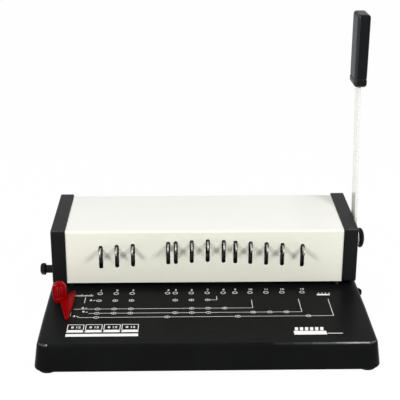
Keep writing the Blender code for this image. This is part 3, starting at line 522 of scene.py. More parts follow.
plastic_crease_highlight = surface("black_plastic_crease_highlight", (0.010, 0.010, 0.011), 0.18, specular=0.14, mottle=0.10)
GLOSS_BLACK_COLOUR = (0.0095, 0.0100, 0.0108)
gloss_black = surface("gloss_black", GLOSS_BLACK_COLOUR, 0.17, specular=0.012, mottle=0.05,
                      spread=0.03)
gloss_highlight = surface("gloss_black_painted_highlight", GLOSS_BLACK_COLOUR, 0.15, specular=0.30, mottle=0.05,
                     spread=0.03)
red_plastic = surface("red_plastic", (0.200, 0.0008, 0.0018), 0.16, specular=0.03, mottle=0.04,
                      spread=0.04)
red_bead_highlight = surface("red_plastic_bead_highlight", (0.28, 0.0008, 0.002), 0.12, specular=0.22, mottle=0.04,
                  spread=0.03)
red_gleam = surface("red_plastic_gleam", (0.40, 0.014, 0.016), 0.10, specular=0.9, mottle=0.04,
                    spread=0.03)
# Matt black for the drawer's pull, and as painted shade on the slots' cut edges and in the tabs' eyes.
matt_black_and_painted_shade = surface("matt_black_and_painted_shade", (0.004, 0.004, 0.0044), 0.6, specular=0.0, mottle=0.10,
                     grain=0.00003)
# Two copies of one bright steel: the tabs' lighter one, and a much darker one for the parts inside the
# housing, painted shade.
tab_steel = surface("tab_steel", (0.50, 0.51, 0.49), 0.34, metallic=1.0, mottle=0.08, patch=0.006,
                    grain=0.000008, grain_size=0.0007, brushed=(1.0, 0.08, 1.0))
bright_steel = surface("bright_steel", (0.125, 0.125, 0.122), 0.30, metallic=1.0, mottle=0.08,
                       patch=0.006, grain=0.000008, grain_size=0.0007, brushed=(1.0, 0.08, 1.0))
tool_steel = surface("tool_steel", (0.42, 0.42, 0.43), 0.30, metallic=1.0, mottle=0.08, patch=0.012,
                     grain=0.000006, grain_size=0.0006, brushed=(0.1, 1.0, 1.0))
grey_steel = surface("grey_steel", (0.14, 0.14, 0.145), 0.42, metallic=1.0, mottle=0.12, patch=0.02,
                     grain=0.00001, grain_size=0.0009)
spring_steel = surface("spring_steel", (0.38, 0.37, 0.36), 0.32, metallic=1.0, mottle=0.1, patch=0.004)
bronze = surface("bronze", (0.52, 0.33, 0.15), 0.36, metallic=1.0, mottle=0.12, patch=0.004)
rubber = surface("rubber", (0.018, 0.018, 0.018), 0.75, specular=0.2, mottle=0.15, grain=0.00005)
white_ink = surface("white_ink", (0.80, 0.80, 0.79), 0.5, specular=0.3, mottle=0.05, patch=0.004)

finishes = {
    "black_coat": black_coat,
    "cream_coat": cream_coat,
    "pale_coat": pale_coat,
    "black_plastic": black_plastic,
    "gloss_black": gloss_black,
    "red_plastic": red_plastic,
    "bright_steel": bright_steel,
    "tool_steel": tool_steel,
    "grey_steel": grey_steel,
    "spring_steel": spring_steel,
    "bronze": bronze,
    "rubber": rubber,
}
for node in frame["nodes"].values():
    for index, old in enumerate(node.data.materials):
        for slot_name, material in finishes.items():
            if old and old.name.startswith(slot_name):
                node.data.materials[index] = material


# Base. Its rounded front edge has stepped gloss in a lighter black, raised where a highlight should
# show there: a painted highlight. From each place along x on, the number of the step
GLOSS_RUNS = ((-0.172, 0), (0.070, 1), (0.092, 2), (0.112, 3), (0.136, 4), (0.160, 3), (0.172, 4))
CORNER_GLOSS_STEP = 3
CORNER_GLOSS_START = -0.191
GLOSS_SLOPES = (0.68, 0.97)
CORNER_STEPS = 14
base_corners = [
    (base_low.x + FRONT_CUT_LEFT, base_low.y),
    (base_high.x - FRONT_CUT_RIGHT, base_low.y),
    (base_high.x, FRONT_CUT_END_RIGHT),
    (base_high.x, base_high.y),
    (base_low.x, base_high.y),
    (base_low.x, FRONT_CUT_END_LEFT),
]


def base_outline(inset):
    """The base's outline, with points along its straight front where the edge's gloss changes."""
    points = rounded(base_corners, BASE_CORNER, inset, CORNER_STEPS)
    corner, rest = points[:CORNER_STEPS + 1], points[CORNER_STEPS + 1:]
    return corner + [(x, corner[-1][1]) for x, step in GLOSS_RUNS] + rest


def wall_inset(level):
    return BASE_FLARE * (level - FOOT_HEIGHT) / (base_top - FOOT_HEIGHT)


shoulder = base_top - BASE_EDGE
shoulder_inset = wall_inset(shoulder)
base_layers = [
    (shoulder + BASE_EDGE * sin(angle), shoulder_inset + BASE_EDGE * (1 - cos(angle)))
    for angle in reversed(quarter_turn(8))
]
base_layers += [
    (FOOT_HEIGHT + BOTTOM_EDGE * (1 - sin(angle)), BOTTOM_EDGE * (1 - cos(angle)))
    for angle in quarter_turn(4)
]
base_layers += [
    (FOOT_HEIGHT, BASE_SHEET),
    (shoulder, shoulder_inset + BASE_SHEET),
    (base_top - BASE_SHEET, shoulder_inset + BASE_EDGE),
]
base_rings = [[along_z(point, level) for point in base_outline(inset)] for level, inset in base_layers]
deck = box((-DECK_HALF, die_plate_front - SEAT_GAP, base_top - BASE_SHEET - OVERRUN),
           (DECK_HALF, margin_bar_rear + OVERRUN, base_top + OVERRUN))
doorway_inside = base_high.x - BASE_FLARE - BASE_EDGE - OVERRUN
doorway = box((doorway_inside, drawer_low.y - SEAT_GAP, drawer_low.z - SEAT_GAP),
              (base_high.x + OVERRUN, drawer_high.y + SEAT_GAP, drawer_high.z + SEAT_GAP))


def gloss_step(centre, normal):
    """0 off the middle of the rounded front edge, and else the step of the painted highlight's gloss at
    the face's place.
    """
    flattest, steepest = GLOSS_SLOPES
    if centre.z < shoulder - 0.0005 or normal.y > -0.2 or not flattest < normal.z < steepest:
        return 0
    step = CORNER_GLOSS_STEP if centre.x > CORNER_GLOSS_START else 0
    for start, run_step in GLOSS_RUNS:
        if centre.x > start:
            step = run_step
    return step


solid("base_body", loft(base_rings), black_coat, "machine_base", ["base_shell"],
      cuts=[deck, doorway], zones=(painted_highlight_steps, gloss_step))

foot_profile = [
    (FOOT_RADIUS - 0.0012, 0.0),
    (FOOT_RADIUS - 0.0004, 0.0003),
    (FOOT_RADIUS, 0.0011),
    (FOOT_RADIUS, FOOT_HEIGHT - SEAT_GAP),
]
dimple_profile = [(0.004, -OVERRUN), (0.004, 0.001)]
for row in ("front", "rear"):
    for side, sign in (("left", -1), ("right", 1)):
        low, high = place_of(f"foot_{row}_{side}")
        centre = ((low.x + high.x) / 2 + sign * FOOT_SHIFT, (low.y + high.y) / 2)
        solid(f"rubber_foot_{row}_{side}", turned(along_z, centre, foot_profile, ROUND_STEPS), rubber,
              "machine_base", [f"foot_{row}_{side}"],
              cuts=[turned(along_z, centre, dimple_profile, 24)])


# Housing cover with its slots

def sheet_path(offset):
    corners = [
        (0.0, base_top + PANEL_LIFT),
        (cover_depth, base_top + SEAT_GAP),
        (cover_depth, rear_crease),
        (0.0, crease),
    ]
    steps = 10
    count = steps + 1
    # rounded gives count points to each corner, and the two creases are the third and the fourth
    rear = rounded(corners, REAR_BEND, offset, steps)[2 * count:3 * count]
    front = rounded(corners, COVER_BEND, offset, steps)[3 * count:]
    rear_foot = (cover_depth - offset, base_top + SEAT_GAP)
    panel_foot = (offset, base_top + PANEL_LIFT)
    return [rear_foot] + rear + front + [panel_foot]


sheet_section = sheet_path(0.0) + sheet_path(COVER_SHEET)[::-1]
slot_tops = [high.z + TAB_TOP_GAP for low, high in tab_boxes]
slot_layers = ((-OVERRUN, -SLOT_LIP), (0.0, -SLOT_LIP), (SLOT_LIP, 0.0), (COVER_SHEET + OVERRUN, 0.0))
slot_tools = []
for place, top in zip(hole_places, slot_tops):
    corners = rectangle((place - SLOT_WIDTH / 2, top - SLOT_LENGTH), (place + SLOT_WIDTH / 2, top))
    slot_tools.append(loft([
        [along_y(point, level) for point in rounded(corners, SLOT_WIDTH / 2 - SLOT_CORNER_CUT, inset)]
        for level, inset in slot_layers
    ]))

slots_high = max(slot_tops) + 0.001
slots_low = min(slot_tops) - SLOT_LENGTH - 0.001


def cover_tone(centre, normal):
    """1 on the roof, which takes a lighter, greyer cream as painted light, 2 on the cut edges of the
    slots, which take matt black as painted shade, and else 0.
    """
    if centre.z > slots_high:
        return 1 if normal.z > 0.8 else 0
    in_panel = 0.0 < centre.y < COVER_SHEET and abs(centre.x) < cover_half - 0.002
    return 2 if in_panel and centre.z > slots_low and abs(normal.y) < 0.5 else 0


solid("cover_sheet", prism(along_x, sheet_section, -cover_half, cover_half), cream_coat,
      "machine_base", ["housing_cover"], cuts=[gathered(slot_tools)],
      zones=([painted_light_cream, matt_black_and_painted_shade], cover_tone))


# End caps
cap_corners = [
    (-CAP_PROUD, base_top + PANEL_LIFT),
    (CAP_THROAT_DEPTH, base_top + PANEL_LIFT),
    (CAP_THROAT_DEPTH, base_top + SEAT_GAP),
    (cover_depth + CAP_PROUD, base_top + SEAT_GAP),
    (cover_depth + CAP_PROUD, rear_crease + CAP_PROUD),
    (-CAP_PROUD, crease + CAP_PROUD),
]
rim = cover_half + SEAT_GAP
cap_layers = [
    (cap_outer - CAP_EDGE * (1 - cos(angle)), CAP_EDGE * (1 - sin(angle)))
    for angle in quarter_turn(4)
]
cap_layers += [(rim + 0.0004, 0.0), (rim, 0.0004), (rim, CAP_WALL), (cap_outer - CAP_WALL, CAP_WALL)]
margin_turn = [joint for joint in frame["joints"] if joint["name"] == "margin_turn"][0]
margin_axis = Vector(margin_turn["pos_m"]) - origin


def cap_crease(centre, normal):
    """Whether a face lies on the rounded crease between a cap's front and its roof, which takes a
    glossier, lighter black: a painted highlight line.
    """
    return centre.z > crease - 0.004 and normal.y < -0.2 and 0.55 < normal.z < 0.95


bores = {
    "left": ((margin_axis.y, margin_axis.z), STUB_RADIUS),
    "right": ((shaft_y, shaft_z), SHAFT_RADIUS),
}
for side, sign in (("left", -1), ("right", 1)):
    rings = [
        [along_x(point, sign * level) for point in rounded(cap_corners, CAP_CORNER, inset, 8)]
        for level, inset in cap_layers
    ]
    centre, radius = bores[side]
    reach = (sign * (cap_outer - CAP_WALL - OVERRUN), sign * (cap_outer + OVERRUN))
    bore = turned(along_x, centre, [(radius + SEAT_GAP, level) for level in reach], ROUND_STEPS)
    solid(f"cap_{side}", loft(rings), black_plastic, "machine_base",
          [f"end_cap_{side}"], cuts=[bore], zones=([plastic_crease_highlight], cap_crease))


# Pull tabs, whose two eye holes are filled with dark plugs: painted shade in the eyes
EYE_STEPS = 20
for number, (place, (low, high)) in enumerate(zip(hole_places, tab_boxes), start=1):
    left = place - TAB_THICKNESS / 2
    right = place + TAB_THICKNESS / 2
    corners = rectangle((-TAB_PROUD, low.z), (high.y, low.z + TAB_HEIGHT))
    body = edged(along_x, corners, TAB_CORNER, left, right, TAB_EDGE, 8, 3)
    mouth = TAB_EYE_RADIUS + EYE_BEVEL + OVERRUN / 2
    eye_profile = [
        (mouth, left - OVERRUN / 2),
        (TAB_EYE_RADIUS, left + EYE_BEVEL),
        (TAB_EYE_RADIUS, right - EYE_BEVEL),
        (mouth, right + OVERRUN / 2),
    ]
    shade_plug_profile = [
        (TAB_EYE_RADIUS - SHADE_PLUG_BEVEL, left - SHADE_PLUG_PROUD),
        (TAB_EYE_RADIUS, left),
        (TAB_EYE_RADIUS, right),
        (TAB_EYE_RADIUS - SHADE_PLUG_BEVEL, right + SHADE_PLUG_PROUD),
    ]
    centres = [
        (-TAB_EYE_SETBACK - eye * TAB_EYE_STEP, low.z + TAB_HEIGHT / 2)
        for eye in range(2)
    ]
    eyes = gathered([turned(along_x, centre, eye_profile, EYE_STEPS) for centre in centres])
    shade_plugs = gathered([turned(along_x, centre, shade_plug_profile, EYE_STEPS) for centre in centres])
    carrier = f"pull_tab_{number:02d}"
    solid(f"tab_{number:02d}", body, tab_steel, carrier, [carrier], cuts=[eyes])
    solid(f"tab_shade_plugs_{number:02d}", shade_plugs, matt_black_and_painted_shade, carrier)


# Lever
pivot = (shaft_y, shaft_z)
half = LEVER_WIDTH / 2
tang_half = TANG_WIDTH / 2
grip_bottom = shaft_z + LEVER_LENGTH


def along_grip(across, along):
    """A (y, z) point on the grip's tilted axes, measured from the middle of its lower end."""
    return (
        shaft_y + across * cos(GRIP_TILT) - along * sin(GRIP_TILT),
        grip_bottom + across * sin(GRIP_TILT) + along * cos(GRIP_TILT),
    )


arm_foot = [
    (shaft_y + half * cos(angle), shaft_z + half * sin(angle))
    for angle in half_turn(pi)
]
arm_outline = arm_foot + [
    along_grip(half, -SEAT_GAP),
    along_grip(tang_half, -SEAT_GAP),
    along_grip(tang_half, TANG_LENGTH),
    along_grip(-tang_half, TANG_LENGTH),
    along_grip(-tang_half, -SEAT_GAP),
    along_grip(-half, -SEAT_GAP),
]
hub_profile = [
    (HUB_RADIUS, lever_outer - LEVER_SHEET / 2),
    (HUB_RADIUS, hub_end - HUB_EDGE),
    (HUB_RADIUS - HUB_EDGE, hub_end),
]
bore_profile = [
    (SHAFT_RADIUS + SEAT_GAP, lever_inner - OVERRUN),
    (SHAFT_RADIUS + SEAT_GAP, hub_end + OVERRUN),
]


def inner_side(centre, normal):
    """Whether a face looks toward the housing, and takes the lighter copy of the pale coat as painted
    light.
    """
    return normal.x < -0.5


def grip_edge(centre, normal):
    """Whether a face lies on a rounded edge at the grip's front or lower end, which takes a glossier
    black: a painted highlight strip.
    """
    return normal.y < -0.25 and (normal.x < -0.25 or normal.z < -0.25)


solid("arm", prism(along_x, arm_outline, lever_inner, lever_outer), pale_coat, "lever",
      ["lever_arm"], joins=[turned(along_x, pivot, hub_profile, ROUND_STEPS)],
      cuts=[turned(along_x, pivot, bore_profile, ROUND_STEPS)], edge=ARM_EDGE, lean=LEVER_LEAN,
      zones=([pale_coat_lit_side], inner_side))

middle_x = (lever_inner + lever_outer) / 2
grip_layers = [
    (GRIP_EDGE * (1 - cos(angle)), GRIP_EDGE * (1 - sin(angle)))
    for angle in quarter_turn(6)
]
grip_layers += [
    (GRIP_COLLAR - 0.0006, 0.0),
    (GRIP_COLLAR, 0.0006),
    (GRIP_COLLAR + 0.0008, 0.0007),
    (GRIP_COLLAR + 0.0014, 0.0003),
    (GRIP_COLLAR + 0.012, 0.0002),
    (GRIP_LENGTH - GRIP_EDGE - 0.002, 0.0),
]
grip_layers += [
    (GRIP_LENGTH - GRIP_EDGE * (1 - cos(angle)), GRIP_EDGE * (1 - sin(angle)))
    for angle in reversed(quarter_turn(6))
]
grip_half = (GRIP_THICKNESS / 2, GRIP_WIDTH / 2)
grip_corners = rectangle((-grip_half[0], -grip_half[1]), grip_half)
grip_rings = []
for along, inset in grip_layers:
    outline = rounded(grip_corners, GRIP_CORNER, inset)
    grip_rings.append([along_x(along_grip(across, along), middle_x + x) for x, across in outline])
pocket_half = tang_half + SEAT_GAP
pocket = [
    along_grip(-pocket_half, -OVERRUN),
    along_grip(pocket_half, -OVERRUN),
    along_grip(pocket_half, TANG_LENGTH + SEAT_GAP),
    along_grip(-pocket_half, TANG_LENGTH + SEAT_GAP),
]
solid("grip", loft(grip_rings), gloss_black, "lever", ["lever_grip"],
      cuts=[prism(along_x, pocket, lever_inner - SEAT_GAP, lever_outer + SEAT_GAP)], lean=LEVER_LEAN,
      zones=([gloss_highlight], grip_edge))

cap_start = hub_end + SEAT_GAP
dome = [(PIVOT_CAP_RADIUS - 0.0003, cap_start), (PIVOT_CAP_RADIUS, cap_start + 0.0003)]
for step in range(11):
    angle = DOME_ANGLE * step / 10
    rise = (PIVOT_CAP_HEIGHT - PIVOT_CAP_RIM) * sin(angle) / sin(DOME_ANGLE)
    dome.append((PIVOT_CAP_RADIUS * cos(angle), cap_start + PIVOT_CAP_RIM + rise))
solid("pivot_dome", turned(along_x, pivot, dome, 64), gloss_black, "lever",
      ["pivot_cap"], lean=LEVER_LEAN)


# Return springs, which shorten as the press comes down on the real punch; here each coil is built at
# one length, with a mesh of its own
COIL_STEPS = 20
upward = Vector((0.0, 0.0, 1.0))
for side in ("left", "right"):
    low, high = place_of(f"return_spring_{side}")
    centre = Vector(((low.x + high.x) / 2, (low.y + high.y) / 2, 0.0))
    radius = (high.y - low.y) / 2 - SPRING_WIRE
    height = high.z - low.z
    rings = []
    for step in range(SPRING_TURNS * COIL_STEPS + 1):
        turn = 2 * pi * step / COIL_STEPS
        outward = Vector((cos(turn), sin(turn), 0.0))
        level = low.z + SPRING_WIRE + (height - 2 * SPRING_WIRE) * step / (SPRING_TURNS * COIL_STEPS)
        middle = centre + radius * outward + upward * level
        rings.append([
            middle + SPRING_WIRE * (outward * cos(angle) + upward * sin(angle))
            for angle in full_turn(8)
        ])
    coil = solid(f"spring_coil_{side}", loft(rings), spring_steel, "machine_base",
                 [f"return_spring_{side}"], smooth=60)
    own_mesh(coil)


# Margin knob

def lobed(radius, level, share, steps=96):
    """A ring round the knob's axis, whose lobes rise and fall by a share of its radius."""
    points = []
    for angle in full_turn(steps):
        reach = radius * (1 + share * cos(KNOB_LOBES * angle))
        point = (margin_axis.y + reach * cos(angle), margin_axis.z + reach * sin(angle))
        points.append(along_x(point, level))
    return points


near = -cap_outer - SEAT_GAP
head = near - KNOB_NECK_LENGTH
knob_end = head - KNOB_HEAD_LENGTH
socket_end = near - STUB_ENTRY - SEAT_GAP
knob_rings = [
    lobed(STUB_RADIUS + SEAT_GAP, socket_end, 0.0),
    lobed(STUB_RADIUS + SEAT_GAP, near, 0.0),
    lobed(KNOB_NECK_RADIUS - 0.0004, near, 0.0),
    lobed(KNOB_NECK_RADIUS, near - 0.0004, 0.0),
    lobed(KNOB_NECK_RADIUS, head + 0.001, 0.0),
    lobed(KNOB_NECK_RADIUS + 0.0005, head, 0.02),
    lobed(KNOB_HEAD_RADIUS - 0.0004, head - 0.0004, 0.09),
    lobed(KNOB_HEAD_RADIUS, head - KNOB_EDGE, 0.09),
    lobed(KNOB_HEAD_RADIUS, knob_end + 0.0030, 0.09),
    lobed(KNOB_HEAD_RADIUS - 0.0004, knob_end + 0.0016, 0.09),
    lobed(KNOB_HEAD_RADIUS - 0.0012, knob_end + 0.0006, 0.08),
    lobed(KNOB_HEAD_RADIUS - 0.0024, knob_end, 0.06),
    lobed(KNOB_HEAD_RADIUS * 0.62, knob_end, 0.0),
    lobed(KNOB_HEAD_RADIUS * 0.58, knob_end + 0.0004, 0.0),
    lobed(KNOB_HEAD_RADIUS * 0.58, knob_end + 0.0015, 0.0),
]
solid("knob", loft(knob_rings), black_plastic, "margin_selector", ["margin_knob"])


# Edge guide
guide_floor = base_top + SEAT_GAP
thumb_right = guide_right - THUMB_SETBACK
thumb_x = thumb_right - THUMB_HALF
thumb_top = guide_floor + THUMB_RISE


def bulged(front, share):
    """The y of the thumb piece's front, which falls back toward its sides."""
    return front + THUMB_BULGE * abs(share) ** THUMB_BULGE_POWER


def thumb_section(level):
    """The y of the middle of the front, and the left and right x, of the thumb piece at a level.

    It widens from its foot and ends in a round arch that falls back.
    """
    drop = max(0.0, 1 - (thumb_top - level) / THUMB_HALF)
    half_here = THUMB_HALF * sqrt(max(1 - drop ** THUMB_ARCH_POWER, 0.05))
    lean_back = max(0.0, 1 - (thumb_top - level) / THUMB_CROWN)
    front = THUMB_FRONT + THUMB_CROWN_FALL * (1 - sqrt(max(1 - lean_back ** 2, 0.0)))
    foot_in = THUMB_FOOT_IN * max(0.0, 1 - (level - guide_floor) / THUMB_TAPER_RISE) ** 1.5
    return front, thumb_x - half_here + foot_in, thumb_x + half_here


def thumb_ring(level, count=16):
    front, left, right = thumb_section(level)
    shares = [step / count for step in range(-count, count + 1)]
    middle, reach = (left + right) / 2, (right - left) / 2
    points = [(middle + reach * share, bulged(front, share)) for share in shares]
    points += [(right, THUMB_BACK), (left, THUMB_BACK)]
    return [along_z(point, level) for point in points]


thumb_levels = [guide_floor + rise for rise in (0.0015, 0.004, 0.0075, 0.0105, 0.0135)]
thumb_levels += [thumb_top - THUMB_CROWN * (1 - sin(angle)) for angle in quarter_turn(12)[:-1]]
thumb_levels.append(thumb_top - 0.00002)

foot_left = thumb_x - THUMB_HALF + THUMB_FOOT_IN
tip_right = guide_right - POINTER_TIP_SETBACK
pointer_plan = [
    (tip_right - POINTER_TIP_WIDTH, POINTER_TIP),
    (tip_right, POINTER_TIP),
    (guide_right, -0.050),
    (guide_right, POINTER_ROOT),
    (thumb_right, -0.028),
    (foot_left, THUMB_BACK),
    (foot_left, GUIDE_FOOT_FRONT),
    (foot_left + GUIDE_FOOT_WIDTH, GUIDE_FOOT_FRONT),
]
pointer_slope = (POINTER_ROOT_RISE - POINTER_TIP_RISE) / (POINTER_ROOT - POINTER_TIP)


def pointer_ring(inset, drop):
    """The pointer's outline on its upper face, which rises from the tip to the root."""
    ring = []
    for point in rounded(pointer_plan, POINTER_CORNER, inset, 5):
        top = guide_floor + POINTER_TIP_RISE + pointer_slope * (point[1] - POINTER_TIP)
        ring.append(along_z(point, top - drop))
    return ring


pointer = loft([
    [along_z(point, guide_floor) for point in rounded(pointer_plan, POINTER_CORNER, 0.0, 5)],
    pointer_ring(0.0, 0.0004),
    pointer_ring(0.0002, 0.0001),
    pointer_ring(0.0005, 0.0),
    pointer_ring(0.0010, 0.0),
    pointer_ring(0.0013, 0.0009),
])

# Beads on the thumb piece: five upright ribs, the rim and two ledges, in a lighter, glossier red:
# painted highlights
beads = []
for share in (-0.62, -0.31, 0.0, 0.31, 0.62):
    path = []
    for step in range(9):
        level = guide_floor + RIB_LOW + RIB_LENGTH * step / 8
        front = thumb_section(level)[0]
        x = thumb_x + THUMB_SHIFT + RIB_REACH * share
        path.append(Vector((x, bulged(front, share) + RIB_SUNK, level)))
    beads.append(swept(path, RIB_RADIUS))
rim_low = guide_floor + RIM_LOW
rim_height = thumb_top - RIM_TOP_GAP - rim_low
rim_sides = []
for sign in (-1, 1):
    rim_side = []
    for step in range(30):
        level = rim_low + rim_height * step / 29
        front, left, right = thumb_section(level)
        x = (left + right) / 2 + sign * (right - left) / 2 * RIM_SHARE
        rim_side.append(Vector((x, front + RIM_SETBACK, level)))
    rim_sides.append(rim_side)
beads.append(swept(rim_sides[0] + rim_sides[1][::-1], RIM_RADIUS))
for rise, half_length in ((0.0046, 0.0050), (0.0026, 0.0056)):
    level = guide_floor + rise
    middle = Vector((thumb_x + LEDGE_SHIFT, thumb_section(level)[0] - BEAD_PROUD, level))
    line = [middle + Vector((half_length * share, 0.0, 0.0)) for share in (-1, -0.5, 0, 0.5, 1)]
    beads.append(swept(line, LEDGE_RADIUS))

# The guide's arm, which reaches back under the panel, and its ring on the guide rod
ring_left = guide_right - GUIDE_RING_SETBACK - GUIDE_RING_LENGTH
ring_right = ring_left + GUIDE_RING_LENGTH
hook_front = COVER_SHEET + SEAT_GAP
hook_back = HOOK_BACK - SEAT_GAP
riser_left = thumb_right - RISER_OFFSET
riser_right = riser_left + RISER_WIDTH
arm_left = thumb_right - GUIDE_ARM_OFFSET
arm_top = guide_floor + GUIDE_ARM_HEIGHT
arm = box((arm_left, GUIDE_ARM_FRONT, guide_floor),
          (arm_left + GUIDE_ARM_WIDTH, hook_back - SEAT_GAP, arm_top))
crossing_low = rod_z - CROSSING_FALL
crossing_high = rod_z + CROSSING_RISE
hook = prism(along_y, [
    (arm_left + SEAT_GAP, guide_floor + SEAT_GAP),
    (riser_right - SEAT_GAP, guide_floor + SEAT_GAP),
    (riser_right - SEAT_GAP, crossing_low),
    (ring_right - SEAT_GAP, crossing_low),
    (ring_right - SEAT_GAP, crossing_high),
    (riser_left + SEAT_GAP, crossing_high),
    (riser_left + SEAT_GAP, arm_top - SEAT_GAP),
    (arm_left + SEAT_GAP, arm_top - SEAT_GAP),
], hook_front, hook_back)
link = box((ring_left + SEAT_GAP, hook_front + SEAT_GAP, crossing_low + SEAT_GAP),
           (ring_right - SEAT_GAP * 2, rod_y - SEAT_GAP, crossing_high - SEAT_GAP))
eye = ROD_RADIUS + SEAT_GAP
ring_outer = eye + GUIDE_RING_WALL
rod_place = (rod_y, rod_z)
ring = turned(along_x, rod_place, [(ring_outer, ring_left), (ring_outer, ring_right)], ROUND_STEPS)
hole = turned(along_x, rod_place, [(eye, ring_left - OVERRUN), (eye, ring_right + OVERRUN)], 32)


def behind_pointer(centre, normal):
    """Whether a face lies behind the pointer's root, on the arm that reaches to the guide rod, which
    takes black plastic as painted shade on the red piece.
    """
    return centre.y > POINTER_ROOT


solid("guide", loft([thumb_ring(level) for level in thumb_levels]), red_plastic, "edge_guide",
      ["edge_guide"], joins=[pointer, arm, hook, link, ring], cuts=[hole], smooth=40,
      zones=([black_plastic], behind_pointer))
# Two small beads of bright, glossy red near the thumb's top: painted highlights.
gleam_level = guide_floor + GLEAM_RISE
gleam_y = thumb_section(gleam_level)[0] - BEAD_PROUD
for side, sign in (("left", -1), ("right", 1)):
    spot = Vector((thumb_x + THUMB_SHIFT + sign * GLEAM_OFFSET, gleam_y, gleam_level))
    reach = Vector((RIB_RADIUS, 0.0, 0.0))
    solid(f"guide_painted_gleam_{side}", swept([spot - reach, spot, spot + reach], RIB_RADIUS), red_gleam,
          "edge_guide", smooth=60)
for number, bead in enumerate(beads):
    solid(f"guide_bead_{number:02d}", bead, red_bead_highlight, "edge_guide", smooth=60)


# Chip drawer

def wall_x(level):
    return base_high.x - wall_inset(level)


drawer_section = [
    (drawer_low.x, drawer_low.z),
    (wall_x(drawer_low.z), drawer_low.z),
    (wall_x(drawer_high.z), drawer_high.z),
    (drawer_low.x, drawer_high.z),
]
plate_inside = wall_x(drawer_high.z) - DRAWER_FRONT_PLATE
hollow = box((drawer_low.x + DRAWER_WALL, drawer_low.y + DRAWER_WALL, drawer_low.z + DRAWER_WALL),
             (plate_inside, drawer_high.y - DRAWER_WALL, drawer_high.z + OVERRUN))
pull_x = plate_inside + PULL_SETBACK
pull_y = (drawer_low.y + drawer_high.y) / 2
pull_low = drawer_low.z + PULL_RISE
pull_outline = [
    (pull_x + PULL_RADIUS * cos(angle), pull_y + PULL_RADIUS * sin(angle))
    for angle in half_turn(-pi / 2)
]


def pull_face(centre, normal):
    """Whether a face lies on the pull, outside the drawer's front plate."""
    return centre.x > wall_x(centre.z) + 0.0002


pull = prism(along_z, pull_outline, pull_low, pull_low + PULL_THICKNESS)
solid("drawer", prism(along_y, drawer_section, drawer_low.y, drawer_high.y), black_plastic,
      "chip_drawer", ["chip_drawer"], joins=[pull], cuts=[hollow], edge=DRAWER_EDGE,
      zones=([matt_black_and_painted_shade], pull_face))


# White print on the paper table, placed in x and y as the photograph shows it
INK_LOW = base_top - 0.00005
INK_HIGH = base_top + 0.00006
LINE = 0.0006
RING_LINE = 0.0007
HOLE_RING = 0.0030
HOLE_RING_Y = -0.0175
HOLE_NUMBER_Y = -0.0092
HOLE_NUMBER_SIZE = 0.0052
ROW_RING = 0.0031
ROW_NUMBER_SIZE = 0.0036
LABEL_SIZE = 0.0058
NUMBER_WEIGHT = 0.02
PRINT_SHIFT = -0.0009
print_shapes = []


def bar(start, end, width=LINE):
    a, b = Vector(start), Vector(end)
    along = (b - a).normalized()
    side = Vector((-along.y, along.x)) * width / 2
    outline = [a - side, b - side, b + side, a + side]
    print_shapes.append(prism(along_z, outline, INK_LOW, INK_HIGH))


def ring_mark(x, y, outer, stretch):
    inner = outer - RING_LINE
    profile = ((outer, INK_LOW), (outer, INK_HIGH), (inner, INK_HIGH), (inner, INK_LOW))
    print_shapes.append(loft([
        [along_z((x + radius * cos(turn), y + radius * stretch * sin(turn)), level)
         for turn in full_turn(32)]
        for radius, level in profile
    ], closed=True))


def number_mark(text, x, y, size):
    curve = bpy.data.curves.new("number", "FONT")
    curve.body = text
    curve.size = size
    curve.align_x = "CENTER"
    curve.align_y = "CENTER"
    curve.extrude = (INK_HIGH - INK_LOW) / 2
    curve.offset = size * NUMBER_WEIGHT
    obj = bpy.data.objects.new("number", curve)
    bpy.context.scene.collection.objects.link(obj)
    bpy.context.view_layer.update()
    graph = bpy.context.evaluated_depsgraph_get()
    mesh = bpy.data.meshes.new_from_object(obj.evaluated_get(graph))
    mesh.transform(Matrix.Translation(Vector((x, y, (INK_LOW + INK_HIGH) / 2))))
    bm = bmesh.new()
    bm.from_mesh(mesh)
    bpy.data.meshes.remove(mesh)
    bpy.data.objects.remove(obj)
    print_shapes.append(bm)


# The chart: rings and numbers along the holes, and four rows with their y, their holes, where their
# line starts and ends, and where the line that rises from its end stops
marks = [place + PRINT_SHIFT for place in hole_places]
chart_rows = (
    (-0.0365, (1, 2, 3, 5, 6, 7), None, 0.0132, (0.0132, -0.0268)),
    (-0.0580, (1, 2, 3, 6, 7, 8), -0.1518, 0.0537, (0.0537, -0.0371)),
    (-0.0689, (1, 2, 3, 5, 6, 7, 10, 11, 12), -0.1340, 0.1092, (0.1089, -0.0360)),
    (-0.0791, (1, 4, 9, 13), -0.1456, 0.1439, (0.1438, -0.0366)),
)
for number, place in enumerate(marks, start=1):
    ring_mark(place, HOLE_RING_Y, HOLE_RING, 1.05)
    number_mark(str(number), place + 0.0008, HOLE_NUMBER_Y, HOLE_NUMBER_SIZE)
for y, holes, left, right, riser_end in chart_rows:
    for number in holes:
        ring_mark(marks[number - 1], y, ROW_RING, 0.88)
        number_mark(str(number), marks[number - 1], y, ROW_NUMBER_SIZE)
    start = left
    stops = holes if left is not None else holes[-1:]
    for number in stops:
        place = marks[number - 1]
        if start is not None:
            bar((start, y), (place - HOLE_RING, y))
        start = place + HOLE_RING
    bar((start, y), (right, y))
    bar((right, y - LINE / 2), riser_end)
bar((-0.1541, -0.0761), (-0.1541, -0.0496), 0.0004)
bar((-0.1411, -0.0421), (-0.1409, -0.0272))
row_labels = (
    ("6", -0.1340, -0.0350),
    ("6", -0.1418, -0.0550),
    ("9", -0.1402, -0.0650),
    ("4", -0.1498, -0.0757),
)
for label, x, y in row_labels:
    number_mark(label, x, y, LABEL_SIZE)
    bar((x + 0.0026, y - 0.0006), (x + 0.0050, y - 0.0006), 0.0010)

